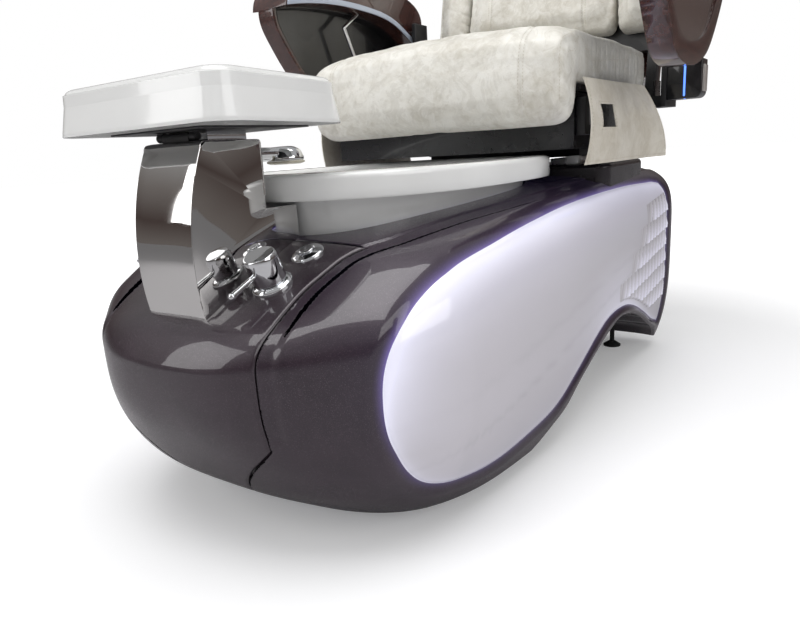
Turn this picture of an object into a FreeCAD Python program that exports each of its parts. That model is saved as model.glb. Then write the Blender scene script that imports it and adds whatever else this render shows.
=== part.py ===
import FreeCAD, Part
import math
import os
import re

import Sketcher

# Pedicure spa chair in millimetres.
# +X is the chair's left hand side seen from the footrest, +Y runs from the footrest to the back,
# +Z is up. The origin lies on the floor under the middle of the whole chair.

SIZES = {
    # Moulded base shell
    "nose_y": -742, "base_length": 1322, "base_width": 694, "floor_gap": 25,
    "waist_height": 279, "crown_height": 199, "belly_depth": 400,
    "shell_wall": 10, "groove_width": 20, "groove_depth": 4.5, "cover_gap": 1.2,
    "groove_side_x": 262, "groove_front_x": 170,
    # Lit side panels
    "panel_recess": 3, "panel_thick": 4, "panel_gap": 1, "vault_wall": 6,
    "panel_ledge": 10, "wedge_height": 7, "wedge_pitch": 50, "wedge_row": 43,
    "led_width": 10, "led_thick": 3,
    # Steel frame under the shell
    "rail_x": 212, "rail_width": 36, "rail_height": 30, "tube_wall": 2.5, "rail_front": -430,
    "rail_rear": 520, "beam_front": -370, "beam_rear": -42, "post_low": 90, "foot_radius": 22,
    "foot_pad": 12, "foot_screw": 6, "foot_depth": 40, "foot_front": -405, "foot_rear": 492,
    # Service door
    "door_width": 280, "door_height": 250, "door_low": 90, "door_thick": 3, "door_lip": 14, "slot_width": 8,
    "slot_length": 90, "slot_pitch": 22, "door_screw": 4,
    # Seat step
    "step_half_width": 292, "step_front": 178, "step_rear": 452, "step_top": 490, "step_radius": 28,
    # Tub
    "tub_y": -186, "tub_wall": 6, "tub_half_width": 196, "tub_half_length": 315,
    "rim_half_width": 258, "rim_half_length": 352, "rim_low": 477, "rim_top": 515, "rim_round": 9,
    "mouth_margin": 44, "tub_floor": 225, "tub_floor_share": 0.74, "tub_gap": 2,
    "drain_radius": 24, "drain_flange": 36, "drain_flange_thick": 3, "drain_tail": 70,
    "stopper_radius": 18, "stopper_thick": 5, "stopper_stem": 3,
    "jet_height": 410, "jet_radius": 38, "jet_hole": 26, "jet_depth": 70, "jet_cover_thick": 9,
    "impeller_radius": 20, "impeller_width": 14, "impeller_shaft": 3, "running_gap": 0.05,
    "overflow_width": 66, "overflow_height": 20, "overflow_thick": 5, "overflow_z": 494,
    # Tower
    "tower_half_width": 58, "tower_sheet": 2, "tower_front": -670, "tower_foot_y": -694,
    "tower_bulge": 20, "tower_top": 566, "tower_foot": 333, "tower_rear": -565, "tower_fold": 9,
    "tower_step_rear": -507, "tower_step_z": 472, "tower_plate_inset": 1.2, "back_flange_low": 490,
    # Hand sprayer
    "sprayer_z": 545, "holder_radius": 15, "holder_length": 22, "handle_radius": 10.5,
    "head_y": -462, "head_radius": 28, "head_height": 22, "face_thick": 5,
    # Footrest
    "pad_front": -730, "pad_rear": -466, "pad_front_half": 174, "pad_rear_half": 134, "pad_low": 581,
    "pad_top": 643, "pad_draft": 9, "pad_corner": 38, "pad_edge": 11, "pad_wall": 5,
    "hinge_y": -655, "hinge_pin": 3, "hinge_barrel": 5.5, "channel_half": 40,
    "channel_front": -640, "channel_rear": -574, "channel_sheet": 1.6,
    "knuckle_length": 12, "plate_thick": 2.5, "plate_half": 92, "block_half": 27,
    # Mixer tap, diverter and push button on the sloping hood
    "mixer_x": 105, "mixer_y": -617, "mixer_z": 376, "flange_radius": 29, "flange_thick": 6,
    "cap_radius": 23, "cap_low": 8, "cap_height": 40, "cartridge_radius": 15,
    "lever_radius": 4.2, "lever_length": 52, "lever_knob": 4.8, "stem_radius": 6, "flange_skirt": 4,
    "diverter_x": 140, "knob_radius": 17, "knob_height": 28,
    "button_x": 109, "button_y": -548, "button_z": 407, "button_flange": 24, "button_radius": 11,
    "button_travel": 4, "button_thick": 5, "hood_slope": 24,
    # Chair underframe
    "track_x": 180, "track_width": 36, "track_height": 14, "track_front": 190, "track_rear": 445,
    "slide_gap": 0.4, "carriage_front": 272, "carriage_rear": 470, "carriage_top": 524,
    "carriage_plate": 5, "stop_length": 26,
    "apron_half": 282, "apron_front": 12, "apron_rear": 470, "apron_wall": 14, "pan_thick": 13,
    "pan_low": 626,
    # Seat cushion
    "seat_half": 303, "seat_front": -72, "seat_rear": 478, "roll_low": 566, "roll_rear": 2,
    "seat_top": 735, "seat_crown": 20, "seat_pinch": 8, "soft_gap": 0.4,
    # Side flaps and switch box
    "flap_top": 648, "hem_low": 628, "hem_high": 636, "flap_low": 494, "flap_thick": 3,
    "flap_front": -8, "flap_rear": 352,
    "flap_swing": 60, "flap_flare": 44, "flap_wave": 7, "flap_bulge": 14, "window_y": 38, "window_z": 560,
    "window_width": 62, "window_height": 42,
    "box_depth": 18, "box_length": 92, "box_low": 548, "box_high": 616,
    # Backrest
    "pivot_y": 528, "pivot_z": 650, "back_lean": 12, "pivot_pin": 6, "ear_x": 296, "ear_thick": 6,
    "upright_x": 271, "upright_width": 24, "upright_depth": 26, "back_rise": 760,
    "back_half": 206, "back_thick": 60, "wing_width": 76, "wing_thick": 82, "shell_thick": 5,
    "shell_depth": 43.8, "pillow_height": 170, "pillow_half": 150, "pillow_thick": 55,
    # Armrests
    "arm_inner": 354, "rail_outer": 460, "arm_panel": 397, "arm_outer": 442, "arm_skin": 11,
    "arm_liner": 3, "arm_gap": 0.4, "arm_front": -52, "arm_bottom": 667, "arm_top": 955,
    "arm_rear": 512, "trim_height": 13, "trim_thick": 3, "arm_pivot_y": 452, "arm_pivot_z": 858,
    "arm_pin": 7, "inlay_margin": 42, "inlay_depth": 5, "inlay_thick": 3, "bracket_x": 330,
    "bracket_thick": 12, "bracket_front": 430, "bracket_rear": 492, "bracket_low": 604,
    "bracket_high": 880, "side_box_front": 432, "side_box_rear": 488, "side_box_low": 617,
    "side_box_high": 700, "side_box_outer": 416, "side_cover": 8, "link_radius": 5, "link_x": 388,
}

# Hull stations from the nose to the rear, as shares of the length, with the half width, the crown
# above the waist and the belly below it as shares of their largest values.
STATION_SHARES = [0.003, 0.02, 0.055, 0.11, 0.19, 0.30, 0.42, 0.60, 0.80, 0.97, 1.0]
WIDTH_SHARES = [0.24, 0.455, 0.655, 0.878, 0.985, 1.0, 1.0, 0.99, 0.985, 0.98, 0.94]
CROWN_SHARES = [0.07, 0.245, 0.37, 0.54, 0.745, 0.85, 0.89, 0.935, 0.968, 1.0, 0.965]
BELLY_SHARES = [0.145, 0.29, 0.465, 0.60, 0.755, 0.89, 0.96, 0.98, 1.0, 1.0, 1.0]
CROWN_POWERS = [2.75, 2.86, 3.0, 3.15, 3.55, 3.9, 4.1, 4.5, 5.0, 5.0, 5.0]
BELLY_POWER = 3.0

doc = FreeCAD.newDocument("pedicure_chair")
sheet = doc.addObject("Spreadsheet::Sheet", "Sizes")
for row, (alias, value) in enumerate(SIZES.items(), start=1):
    sheet.set("A%d" % row, alias)
    sheet.set("B%d" % row, str(value))
    sheet.setAlias("B%d" % row, alias)
doc.recompute()

WORD = re.compile(r"[a-z]\w*")
V = FreeCAD.Vector
UP = V(0, 0, 1)
nodes = []


def bound(text):
    return WORD.sub(lambda hit: "Sizes." + hit.group() if hit.group() in SIZES else hit.group(), text)


def number(text):
    sheet.set("D1", "=" + text)
    sheet.recompute()
    return float(sheet.get("D1"))


def size(alias):
    return float(getattr(sheet, alias))


def node(item, label):
    item.Label = label
    nodes.append(item)
    return item


def bind(item, **expressions):
    for name, text in expressions.items():
        item.setExpression(name, bound(text))


def place(item, x="0", y="0", z="0"):
    for axis, text in (("x", x), ("y", y), ("z", z)):
        item.setExpression("Placement.Base." + axis, bound(text))
    return item


def box(name, length, width, height, x, y, z):
    item = doc.addObject("Part::Box", name)
    bind(item, Length=length, Width=width, Height=height)
    return place(item, x, y, z)


def rod(name, radius, height, x="0", y="0", z="0", turn=None):
    item = doc.addObject("Part::Cylinder", name)
    bind(item, Radius=radius, Height=height)
    if turn is not None:
        item.Placement.Rotation = turn
    return place(item, x, y, z)


def feature(name, shape):
    item = doc.addObject("Part::Feature", name)
    item.Shape = shape
    return item


def cut(name, base, *tools):
    for index, tool in enumerate(tools):
        item = doc.addObject("Part::Cut", "%s_%d" % (name, index))
        item.Base = base
        item.Tool = tool
        base = item
    return base


def fuse(name, *items):
    item = doc.addObject("Part::MultiFuse", name)
    item.Shapes = list(items)
    return item


def common(name, *items):
    item = doc.addObject("Part::MultiCommon", name)
    item.Shapes = list(items)
    return item


def mirrored(name, source):
    item = doc.addObject("Part::Mirroring", name)
    item.Source = source
    item.Normal = (1, 0, 0)
    return item


def plane_of(body, role):
    return next(item for item in body.Origin.OriginFeatures if item.Role == role)


def sketch_outline(body, name, plane, profile):
    sketch = body.newObject("Sketcher::SketchObject", name)
    sketch.AttachmentSupport = [(plane_of(body, plane), "")]
    sketch.MapMode = "FlatFace"
    points = [V(number(a), number(b), 0) for a, b in profile]
    count = len(points)
    for k in range(count):
        sketch.addGeometry(Part.LineSegment(points[k], points[(k + 1) % count]), False)
    for k in range(count):
        sketch.addConstraint(Sketcher.Constraint("Coincident", k, 2, (k + 1) % count, 1))
    for k, pair in enumerate(profile):
        for kind, text, line in (("DistanceX", pair[0], -2), ("DistanceY", pair[1], -1)):
            if text == "0":
                sketch.addConstraint(Sketcher.Constraint("PointOnObject", k, 1, line))
                continue
            rule = sketch.addConstraint(Sketcher.Constraint(kind, -1, 1, k, 1, number(text)))
            sketch.setExpression("Constraints[%d]" % rule, bound(text))
    return sketch


def turned(name, profile):
    """A turned piece: the profile of radius and height pairs goes once round the Z axis."""
    body = doc.addObject("PartDesign::Body", name)
    sketch = sketch_outline(body, name + "_profile", "XZ_Plane", profile)
    turn = body.newObject("PartDesign::Revolution", name + "_turn")
    turn.Profile = sketch
    turn.ReferenceAxis = (sketch, ["V_Axis"])
    turn.Angle = 360
    body.Tip = turn
    return body


def padded(name, plane, profile, thickness):
    """A flat plate: the outline is drawn on an origin plane and given its thickness."""
    body = doc.addObject("PartDesign::Body", name)
    sketch = sketch_outline(body, name + "_outline", plane, profile)
    pad = body.newObject("PartDesign::Pad", name + "_pad")
    pad.Profile = sketch
    pad.setExpression("Length", bound(thickness))
    body.Tip = pad
    return body


def rectangle(width, height):
    return [("0", "0"), (width, "0"), (width, height), ("0", height)]


def extrusion(points, vector, curved=False):
    """A prism from a closed outline, straight or through a closed spline."""
    if curved:
        curve = Part.BSplineCurve()
        curve.interpolate(Points=points, PeriodicFlag=True)
        wire = Part.Wire([curve.toShape()])
    else:
        wire = Part.makePolygon(points + points[:1])
    return Part.Face(wire).extrude(vector)


# Sections shared by the shell, the covers and the tub

def oval_points(half_x, half_y, power, count):
    steps = [2 * math.pi * k / count for k in range(count)]
    return [(half_x * math.copysign(abs(math.cos(a)) ** (2 / power), math.cos(a)),
             half_y * math.copysign(abs(math.sin(a)) ** (2 / power), math.sin(a))) for a in steps]


def oval_wire(half_x, half_y, centre_y, z, power=2.6, count=24):
    curve = Part.BSplineCurve()
    points = [V(x, centre_y + y, z) for x, y in oval_points(half_x, half_y, power, count)]
    curve.interpolate(Points=points, PeriodicFlag=True)
    return Part.Wire([curve.toShape()])


def station_value(shares, share):
    """Straight-line reading of a station table at any share of the length."""
    last = STATION_SHARES[0]
    value = shares[0]
    for here, entry in zip(STATION_SHARES, shares):
        if share <= here:
            return value + (entry - value) * (share - last) / max(here - last, 1e-9)
        last = here
        value = entry
    return value


def hull_half_width(y, z, inset=0.0):
    share = (y - size("nose_y")) / size("base_length")
    half = station_value(WIDTH_SHARES, share) * size("base_width") / 2
    rise = z - size("waist_height")
    if rise > 0:
        reach = station_value(CROWN_SHARES, share) * size("crown_height")
        power = station_value(CROWN_POWERS, share)
    else:
        reach = station_value(BELLY_SHARES, share) * size("belly_depth")
        power = BELLY_POWER
    return half * max(0.0, 1 - (abs(rise) / reach) ** power) ** (1 / power) - inset


def hull_section(index, inset):
    share = STATION_SHARES[index]
    y = size("nose_y") + inset + share * (size("base_length") - 2 * inset)
    half = WIDTH_SHARES[index] * size("base_width") / 2 - inset
    crown = CROWN_SHARES[index] * size("crown_height") - inset
    belly = BELLY_SHARES[index] * size("belly_depth") - inset
    waist = size("waist_height")
    count = 13
    edges = []
    for side in (1, -1):
        points = []
        for k in range(count):
            angle = side * (math.pi * k / (count - 1) - math.pi / 2)
            reach, power = (crown, CROWN_POWERS[index]) if angle > 0 else (belly, BELLY_POWER)
            spread = abs(math.cos(angle)) ** (2 / power) if 0 < k < count - 1 else 0
            points.append(V(side * half * spread, y,
                            waist + math.copysign(reach * abs(math.sin(angle)) ** (2 / power), angle)))
        knots = [float(k) for k in range(count)]
        curve = Part.BSplineCurve()
        curve.interpolate(Points=points, Parameters=knots)
        edges.append(curve.toShape())
    return Part.Wire(edges)


def raw_hull(inset):
    sections = [hull_section(index, inset) for index in range(len(STATION_SHARES))]
    return Part.makeLoft(sections, True, False)


HUGE = 3 * size("base_length")
base_half = size("base_width") / 2
above_floor = Part.makeBox(HUGE, HUGE, HUGE, V(-HUGE / 2, -HUGE / 2, size("floor_gap")))
hulls = {}


def hull(inset):
    if inset not in hulls:
        hulls[inset] = raw_hull(inset)
    return hulls[inset]


def skin(outer, inner):
    """The layer of the moulding between two depths below its surface, above the floor gap."""
    return hull(outer).cut(hull(inner)).common(above_floor)


# Plan line of the shoulder groove, and the seam of the nose cover seen from the front

def groove_line(offset):
    """Half of the groove's plan line from the rear forward, moved outward by offset."""
    side = size("groove_side_x") + offset
    front = size("groove_front_x") + offset
    nose = size("nose_y")
    length = size("base_length")
    shares = [(1.02, 1.02), (0.70, 1.0), (0.38, 0.96), (0.275, 0.92), (0.20, 0.84)]
    points = [V(side * width, nose + length * share, 0) for share, width in shares]
    points.append(V(front + 0.1 * (side - front), nose + length * 0.14, 0))
    points.append(V(front, nose + length * 0.085, 0))
    curve = Part.BSplineCurve()
    curve.interpolate(Points=points, InitialTangent=V(0, -1, 0), FinalTangent=V(0, -1, 0))
    tip = V(front, nose - length * 0.1, 0)
    return [curve.toShape(), Part.makeLine(points[-1], tip)], points[0], tip


def groove_prism(inner, outer, side):
    inner_edges, inner_start, inner_tip = groove_line(inner)
    outer_edges, outer_start, outer_tip = groove_line(outer)
    ends = [Part.makeLine(inner_start, outer_start), Part.makeLine(inner_tip, outer_tip)]
    wire = Part.Wire(Part.__sortEdges__(inner_edges + outer_edges + ends))
    prism = Part.Face(wire).extrude(V(0, 0, HUGE))
    if side < 0:
        prism = prism.mirror(V(0, 0, 0), V(1, 0, 0))
    return prism


def cover_plan(offset):
    """Plan prism of the nose cover: between the grooves, back to a line under the tub's rim."""
    edges, start, tip = groove_line(offset)
    half = Part.Wire(Part.__sortEdges__(edges + [
        Part.makeLine(start, V(0, start.y, 0)), Part.makeLine(V(0, start.y, 0), V(0, tip.y, 0)),
        Part.makeLine(V(0, tip.y, 0), tip)]))
    solid = Part.Face(half).extrude(V(0, 0, HUGE))
    both = solid.fuse(solid.mirror(V(0, 0, 0), V(1, 0, 0))).removeSplitter()
    rear = size("tub_y") - size("rim_half_length") + size("mouth_margin") / 2 + offset
    return both.common(Part.makeBox(HUGE, HUGE / 2, HUGE, V(-HUGE / 2, rear - HUGE / 2, 0)))


def cover_front(offset):
    """Front prism of the nose cover: straight flanks that run in to a narrow foot along the seam."""
    front = size("groove_front_x") + offset + size("groove_width")
    waist = size("waist_height")
    shares = [(1.0, 0.78), (0.86, 0.66), (0.55, 0.47), (0.25, 0.24), (0.0, 0.06)]
    points = [V(HUGE / 4, 0, HUGE / 4)]
    points += [V(front * 1.6, 0, waist * 0.86 - offset)]
    points += [V(front * share, 0, waist * height - offset) for share, height in shares[:-1]]
    points += [V(0, 0, waist * shares[-1][1] - offset)]
    outline = points + [V(-p.x, 0, p.z) for p in reversed(points[:-1])]
    prism = extrusion([V(p.x, -HUGE / 2, p.z) for p in outline], V(0, HUGE, 0))
    return prism


# Outline of the lit side panel and the arch, seen from the side

PANEL_ARCH_SHARES = [(0.952, 0.265), (0.893, 0.355), (0.827, 0.491), (0.747, 0.634), (0.69, 0.688),
                     (0.619, 0.681), (0.561, 0.602), (0.486, 0.448), (0.424, 0.312), (0.348, 0.262),
                     (0.231, 0.247), (0.144, 0.351), (0.099, 0.627), (0.09, 0.871)]
PANEL_TOP_SHARES = [(0.098, 1.097), (0.12, 1.22), (0.157, 1.33), (0.2, 1.395), (0.293, 1.46),
                    (0.424, 1.515), (0.546, 1.55), (0.753, 1.575), (0.90, 1.562)]
PANEL_REAR_SHARES = [(0.930, 1.54), (0.944, 1.44), (0.945, 1.229), (0.952, 0.70)]
ARCH_SHARES = [(0.372, 0.06), (0.414, 0.151), (0.457, 0.226), (0.495, 0.358), (0.572, 0.513),
               (0.62, 0.577), (0.663, 0.613), (0.719, 0.588), (0.783, 0.502), (0.868, 0.33),
               (0.925, 0.21), (0.962, 0.09), (0.972, 0.06)]


def side_point(share, height_share, x=0.0):
    return V(x, size("nose_y") + size("base_length") * share, size("waist_height") * height_share)


def spline_edge(points):
    curve = Part.BSplineCurve()
    curve.interpolate(Points=points)
    return curve.toShape()


def shifted(points, offset):
    """Points of a closed side outline, moved outward along the mean normal of their neighbours."""
    count = len(points)
    area = sum(points[k - 1].y * points[k].z - points[k].y * points[k - 1].z for k in range(count))
    moved = []
    for k in range(count):
        before = (points[k] - points[k - 1]).normalize()
        after = (points[(k + 1) % count] - points[k]).normalize()
        mean = (before + after).normalize()
        reach = math.copysign(offset, offset * area) / max(mean.dot(before), 0.5)
        moved.append(points[k] + V(0, mean.z, -mean.y) * reach)
    return moved


def panel_face(offset):
    """The panel's outline, moved outward by offset, as a face on the middle plane."""
    tables = (PANEL_ARCH_SHARES, PANEL_TOP_SHARES, PANEL_REAR_SHARES)
    points = shifted([side_point(*pair) for table in tables for pair in table], offset)
    turn = len(PANEL_ARCH_SHARES) + len(PANEL_TOP_SHARES)
    edges = [spline_edge(points[:turn]), Part.makeLine(points[turn - 1], points[turn]),
             spline_edge(points[turn:]), Part.makeLine(points[-1], points[0])]
    return Part.Face(Part.Wire(edges))


def panel_prism(offset, side):
    face = panel_face(offset)
    prism = face.extrude(V(base_half * 2, 0, 0))
    far = size("base_width") * 0.2
    prism = prism.common(Part.makeBox(HUGE, HUGE, HUGE, V(far, -HUGE / 2, 0)))
    return prism if side > 0 else prism.mirror(V(0, 0, 0), V(1, 0, 0))


def arch_prism(offset):
    """The arch under the middle of the base, through its whole width, grown by offset."""
    points = [side_point(*pair) for pair in ARCH_SHARES]
    points = shifted(points, offset)
    drop = V(0, 0, size("waist_height"))
    corners = [points[-1], points[-1] - drop, points[0] - drop, points[0]]
    lines = [Part.makeLine(one, two) for one, two in zip(corners[:-1], corners[1:])]
    face = Part.Face(Part.Wire([spline_edge(points)] + lines))
    return face.extrude(V(HUGE, 0, 0)).translated(V(-HUGE / 2, 0, 0))


# Places on the sloping hood

def hood_placement(x, y, z, side=1):
    slope = FreeCAD.Rotation(V(1, 0, 0), size("hood_slope"))
    return FreeCAD.Placement(V(side * x, y, z), slope)


hood_holes = [("mixer_x", "mixer_y", "mixer_z", 1, "cartridge_radius"),
              ("diverter_x", "mixer_y", "mixer_z", -1, "cartridge_radius"),
              ("button_x", "button_y", "button_z", 1, "button_radius")]


def hood_drills():
    tools = []
    for x, y, z, side, radius in hood_holes:
        drill = Part.makeCylinder(size(radius) + size("tub_gap"), 2 * size("cap_height"),
                                  V(0, 0, -size("cap_height")))
        drill.Placement = hood_placement(size(x), size(y), size(z), side)
        tools.append(drill)
    return tools


# Base shell and nose cover

SEAM_SHARES = [0.22, 0.41, 0.60, 0.79]


def divided(solid, places, axis):
    """The same single solid, with its curved faces divided at places along an axis."""
    lows = [-HUGE / 2] + places
    highs = places + [HUGE / 2]
    parts = []
    for low, high in zip(lows, highs):
        spans = [high - low if along else HUGE for along in axis]
        corner = V(*[low if along else -HUGE / 2 for along in axis])
        parts += solid.common(Part.makeBox(*spans, corner)).Solids
    return parts[0].fuse(parts[1:])


def lengthwise_parts(solid):
    places = [size("nose_y") + size("base_length") * share for share in SEAM_SHARES]
    return divided(solid, places, (0, 1, 0))


tub_hole = Part.makeLoft([oval_wire(size("tub_half_width") + size("tub_gap"),
                                    size("tub_half_length") + size("tub_gap"), size("tub_y"), z, 3.0)
                          for z in (size("waist_height"), size("rim_top"))], True, False)
half_groove = size("groove_width") / 2
seam_top = size("waist_height") * 0.70
above_seam = Part.makeBox(HUGE, HUGE, HUGE, V(-HUGE / 2, -HUGE / 2, seam_top))
groove_skin = skin(0, size("groove_depth")).common(above_seam)
grooves = [groove_skin.common(groove_prism(-half_groove, half_groove, side)) for side in (1, -1)]
wall_skin = skin(0, size("shell_wall"))
shell_skin = wall_skin.cut(arch_prism(0))
vault = hull(0).common(above_floor).common(arch_prism(size("vault_wall"))).cut(arch_prism(0))
vault_bores = [Part.makeCylinder(size("foot_screw") + size("tub_gap"), size("post_low"),
                                 V(side * size("rail_x"), size("foot_rear"), 0)) for side in (1, -1)]
panel_depth = size("panel_recess") + size("panel_thick")
panel_room = skin(0, panel_depth)
cover_zone = cover_plan(-half_groove).common(cover_front(0))
cover_zone_wide = cover_plan(-half_groove + size("cover_gap")).common(cover_front(size("cover_gap")))
shell = shell_skin.cut(cover_zone_wide).fuse(vault)
for side in (1, -1):
    shell = shell.cut(panel_room.common(panel_prism(0, side)))
    shell = shell.cut(wall_skin.common(panel_prism(-size("panel_ledge"), side)))
door_hole = Part.makeBox(size("door_width") - 2 * size("door_lip"), size("shell_wall") * 4,
                         size("door_height") - 2 * size("door_lip"),
                         V(-size("door_width") / 2 + size("door_lip"),
                           size("nose_y") + size("base_length") - 2 * size("shell_wall"),
                           size("door_low") + size("door_lip")))
shell = shell.cut([door_hole, tub_hole] + grooves + vault_bores)
base_shell = node(feature("base_shell", lengthwise_parts(shell)), "base_shell")

cover = wall_skin.common(cover_zone).cut([tub_hole] + grooves + hood_drills())
nose_cover = node(feature("nose_cover", cover), "nose_cover")

# Lit side panels with their wedges, and the light strips behind them

recess = size("panel_recess")
panel_skin = skin(recess, panel_depth)
WEDGE_ROWS = [(1.37, 0.826), (1.216, 0.785), (1.062, 0.742), (0.908, 0.68), (0.765, 0.60), (0.61, 0.80)]


def surface_x(y, z):
    """How far out the recessed panel's face lies at a height and a place along the side."""
    probe = Part.makeLine(V(base_half / 2, y, z), V(2 * base_half, y, z))
    return hull(recess).common(probe).BoundBox.XMax


def wedge(y, z):
    """One leaf-like facet of the relief: a low pyramid whose ridge leans to the rear."""
    long = size("wedge_pitch") * 0.47
    tall = size("wedge_row") * 0.46
    sunk = size("panel_thick") / 2
    corners = [(-long, 0.25 * tall), (-0.1 * long, tall), (long, 0.35 * tall), (0.35 * long, -tall)]
    base = [V(surface_x(y + a, z + b) - sunk, y + a, z + b) for a, b in corners]
    peak = V(surface_x(y, z) + size("wedge_height"), y + 0.4 * long, z + 0.1 * tall)
    triangles = [(base[k], base[(k + 1) % 4], peak) for k in range(4)]
    triangles += [(base[0], base[1], base[2]), (base[0], base[2], base[3])]
    faces = [Part.Face(Part.makePolygon([one, two, three, one])) for one, two, three in triangles]
    solid = Part.Solid(Part.Shell(faces))
    if solid.Volume < 0:
        solid.reverse()
    return solid


def wedges():
    rear = size("nose_y") + size("base_length") * 0.918
    solids = []
    for height_share, first_share in WEDGE_ROWS:
        first = size("nose_y") + size("base_length") * first_share
        count = int((rear - first) / size("wedge_pitch")) + 1
        for k in range(count):
            z = size("waist_height") * height_share - size("wedge_row") * 0.07 * k
            solids.append(wedge(rear - k * size("wedge_pitch"), z))
    return solids


panel_zone = panel_prism(-size("panel_gap"), 1)
relief = [solid.common(panel_zone) for solid in wedges()]
panel = lengthwise_parts(panel_skin.common(panel_zone)).multiFuse(relief)
light_panel = node(feature("light_panel_right", panel), "light_panel_right")
node(mirrored("light_panel_left", light_panel), "light_panel_left")
led_skin = skin(panel_depth, panel_depth + size("led_thick"))
outer = -size("panel_ledge") - size("panel_gap")
band = panel_face(outer).cut(panel_face(outer - size("led_width"))).extrude(V(2 * base_half, 0, 0))
band = band.common(Part.makeBox(HUGE, HUGE, HUGE, V(base_half / 2, -HUGE / 2,
                                                    size("waist_height") * 1.05)))
led_strip = feature("led_strip_right", lengthwise_parts(led_skin.common(band)))
compound = doc.addObject("Part::Compound", "led_strips")
compound.Links = [led_strip, mirrored("led_strip_left", led_strip)]
node(compound, "led_strips")

# Steel frame with its levelling feet

rail_low = "(tub_floor - tub_wall - rail_height)"
bars = []
bores = []
for word, x_text in (("right", "rail_x"), ("left", "-rail_x")):
    outer = box("rail_" + word, "rail_width", "rail_rear - rail_front", "rail_height",
                x_text + " - rail_width / 2", "rail_front", rail_low)
    inner = box("rail_bore_" + word, "rail_width - 2 * tube_wall", "rail_rear - rail_front",
                "rail_height - 2 * tube_wall", x_text + " - rail_width / 2 + tube_wall", "rail_front",
                rail_low + " + tube_wall")
    bars.append(cut("rail_tube_" + word, outer, inner))
    for place_word, y_text in (("front", "foot_front"), ("rear", "foot_rear")):
        name = place_word + "_" + word
        bars.append(box("post_" + name, "rail_width", "rail_height", rail_low + " - post_low",
                        x_text + " - rail_width / 2", y_text + " - rail_height / 2", "post_low"))
        bores.append(rod("post_bore_" + name, "foot_screw + running_gap", "foot_depth + foot_pad",
                         x_text, y_text, "post_low - foot_pad"))
for word, y_text in (("front", "beam_front"), ("rear", "beam_rear"),
                     ("seat", "foot_rear - rail_height / 2")):
    bars.append(box("cross_beam_" + word, "2 * rail_x - rail_width", "rail_height", "rail_height",
                    "-rail_x + rail_width / 2", y_text, rail_low))
node(cut("chassis", fuse("chassis_bars", *bars), fuse("chassis_bores", *bores)), "chassis")

feet = []
for y_text in ("foot_front", "foot_rear"):
    for x_text in ("rail_x", "-rail_x"):
        foot = turned("foot_%d" % len(feet), [
            ("0", "0"), ("foot_radius", "0"), ("foot_radius", "foot_pad / 3"),
            ("foot_screw * 1.6", "foot_pad"), ("foot_screw", "foot_pad"),
            ("foot_screw", "post_low + foot_depth"), ("0", "post_low + foot_depth")])
        place(foot, x_text, y_text, "0")
        feet.append(foot)
compound = doc.addObject("Part::Compound", "levelling_feet")
compound.Links = feet
node(compound, "levelling_feet")

# Service door in the rear wall, with slots for air and four screws

door = padded("rear_door", "XZ_Plane", rectangle("door_width", "door_height"), "door_thick")
door_sketch = sketch_outline(door, "door_slot", "XZ_Plane", [
    ("door_width / 2 - slot_length / 2", "slot_pitch * 2"),
    ("door_width / 2 + slot_length / 2", "slot_pitch * 2"),
    ("door_width / 2 + slot_length / 2", "slot_pitch * 2 + slot_width"),
    ("door_width / 2 - slot_length / 2", "slot_pitch * 2 + slot_width")])
door_pocket = door.newObject("PartDesign::Pocket", "door_slot_cut")
door_pocket.Profile = door_sketch
door_pocket.Type = "ThroughAll"
door_pocket.Midplane = True
doc.recompute()
door_rows = door.newObject("PartDesign::LinearPattern", "door_slots")
door_rows.Originals = [door_pocket]
door_rows.Direction = (door_sketch, ["V_Axis"])
door_rows.Occurrences = 6
door_rows.setExpression("Length", bound("slot_pitch * 5"))
door.Tip = door_rows
place(door, "-door_width / 2", "nose_y + base_length + door_thick", "door_low")
node(door, "rear_door")
screws = []
for x_text in ("-door_width / 2 + door_lip", "door_width / 2 - door_lip"):
    for z_text in ("door_low + door_lip", "door_low + door_height - door_lip"):
        screw = turned("door_screw_%d" % len(screws), [
            ("0", "0"), ("door_screw", "0"), ("door_screw * 0.6", "door_screw * 0.5"),
            ("0", "door_screw * 0.5")])
        screw.Placement.Rotation = FreeCAD.Rotation(V(1, 0, 0), -90)
        place(screw, x_text, "nose_y + base_length + door_thick", z_text)
        screws.append(screw)
compound = doc.addObject("Part::Compound", "door_screws")
compound.Links = screws
node(compound, "door_screws")

# Raised step that carries the chair

step = Part.makeBox(2 * size("step_half_width"), size("step_rear") - size("step_front"),
                    size("step_top") - size("waist_height"),
                    V(-size("step_half_width"), size("step_front"), size("waist_height")))
upright_edges = [e for e in step.Edges if abs(e.Vertexes[0].X - e.Vertexes[-1].X) < 1
                 and abs(e.Vertexes[0].Y - e.Vertexes[-1].Y) < 1]
step = step.makeFillet(size("step_radius"), upright_edges)
top_edges = [e for e in step.Edges if e.BoundBox.ZMin > size("step_top") - 1]
step = step.makeFillet(size("step_radius") / 3, top_edges)
tub_room = Part.makeLoft([oval_wire(size("rim_half_width") + size("tub_gap") * 2,
                                    size("rim_half_length") + size("tub_gap") * 2, size("tub_y"), z)
                          for z in (size("waist_height"), 2 * size("rim_top"))], True, False)
node(feature("seat_step", step.cut(hull(0)).cut(tub_room)), "seat_step")

# Tub

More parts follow.
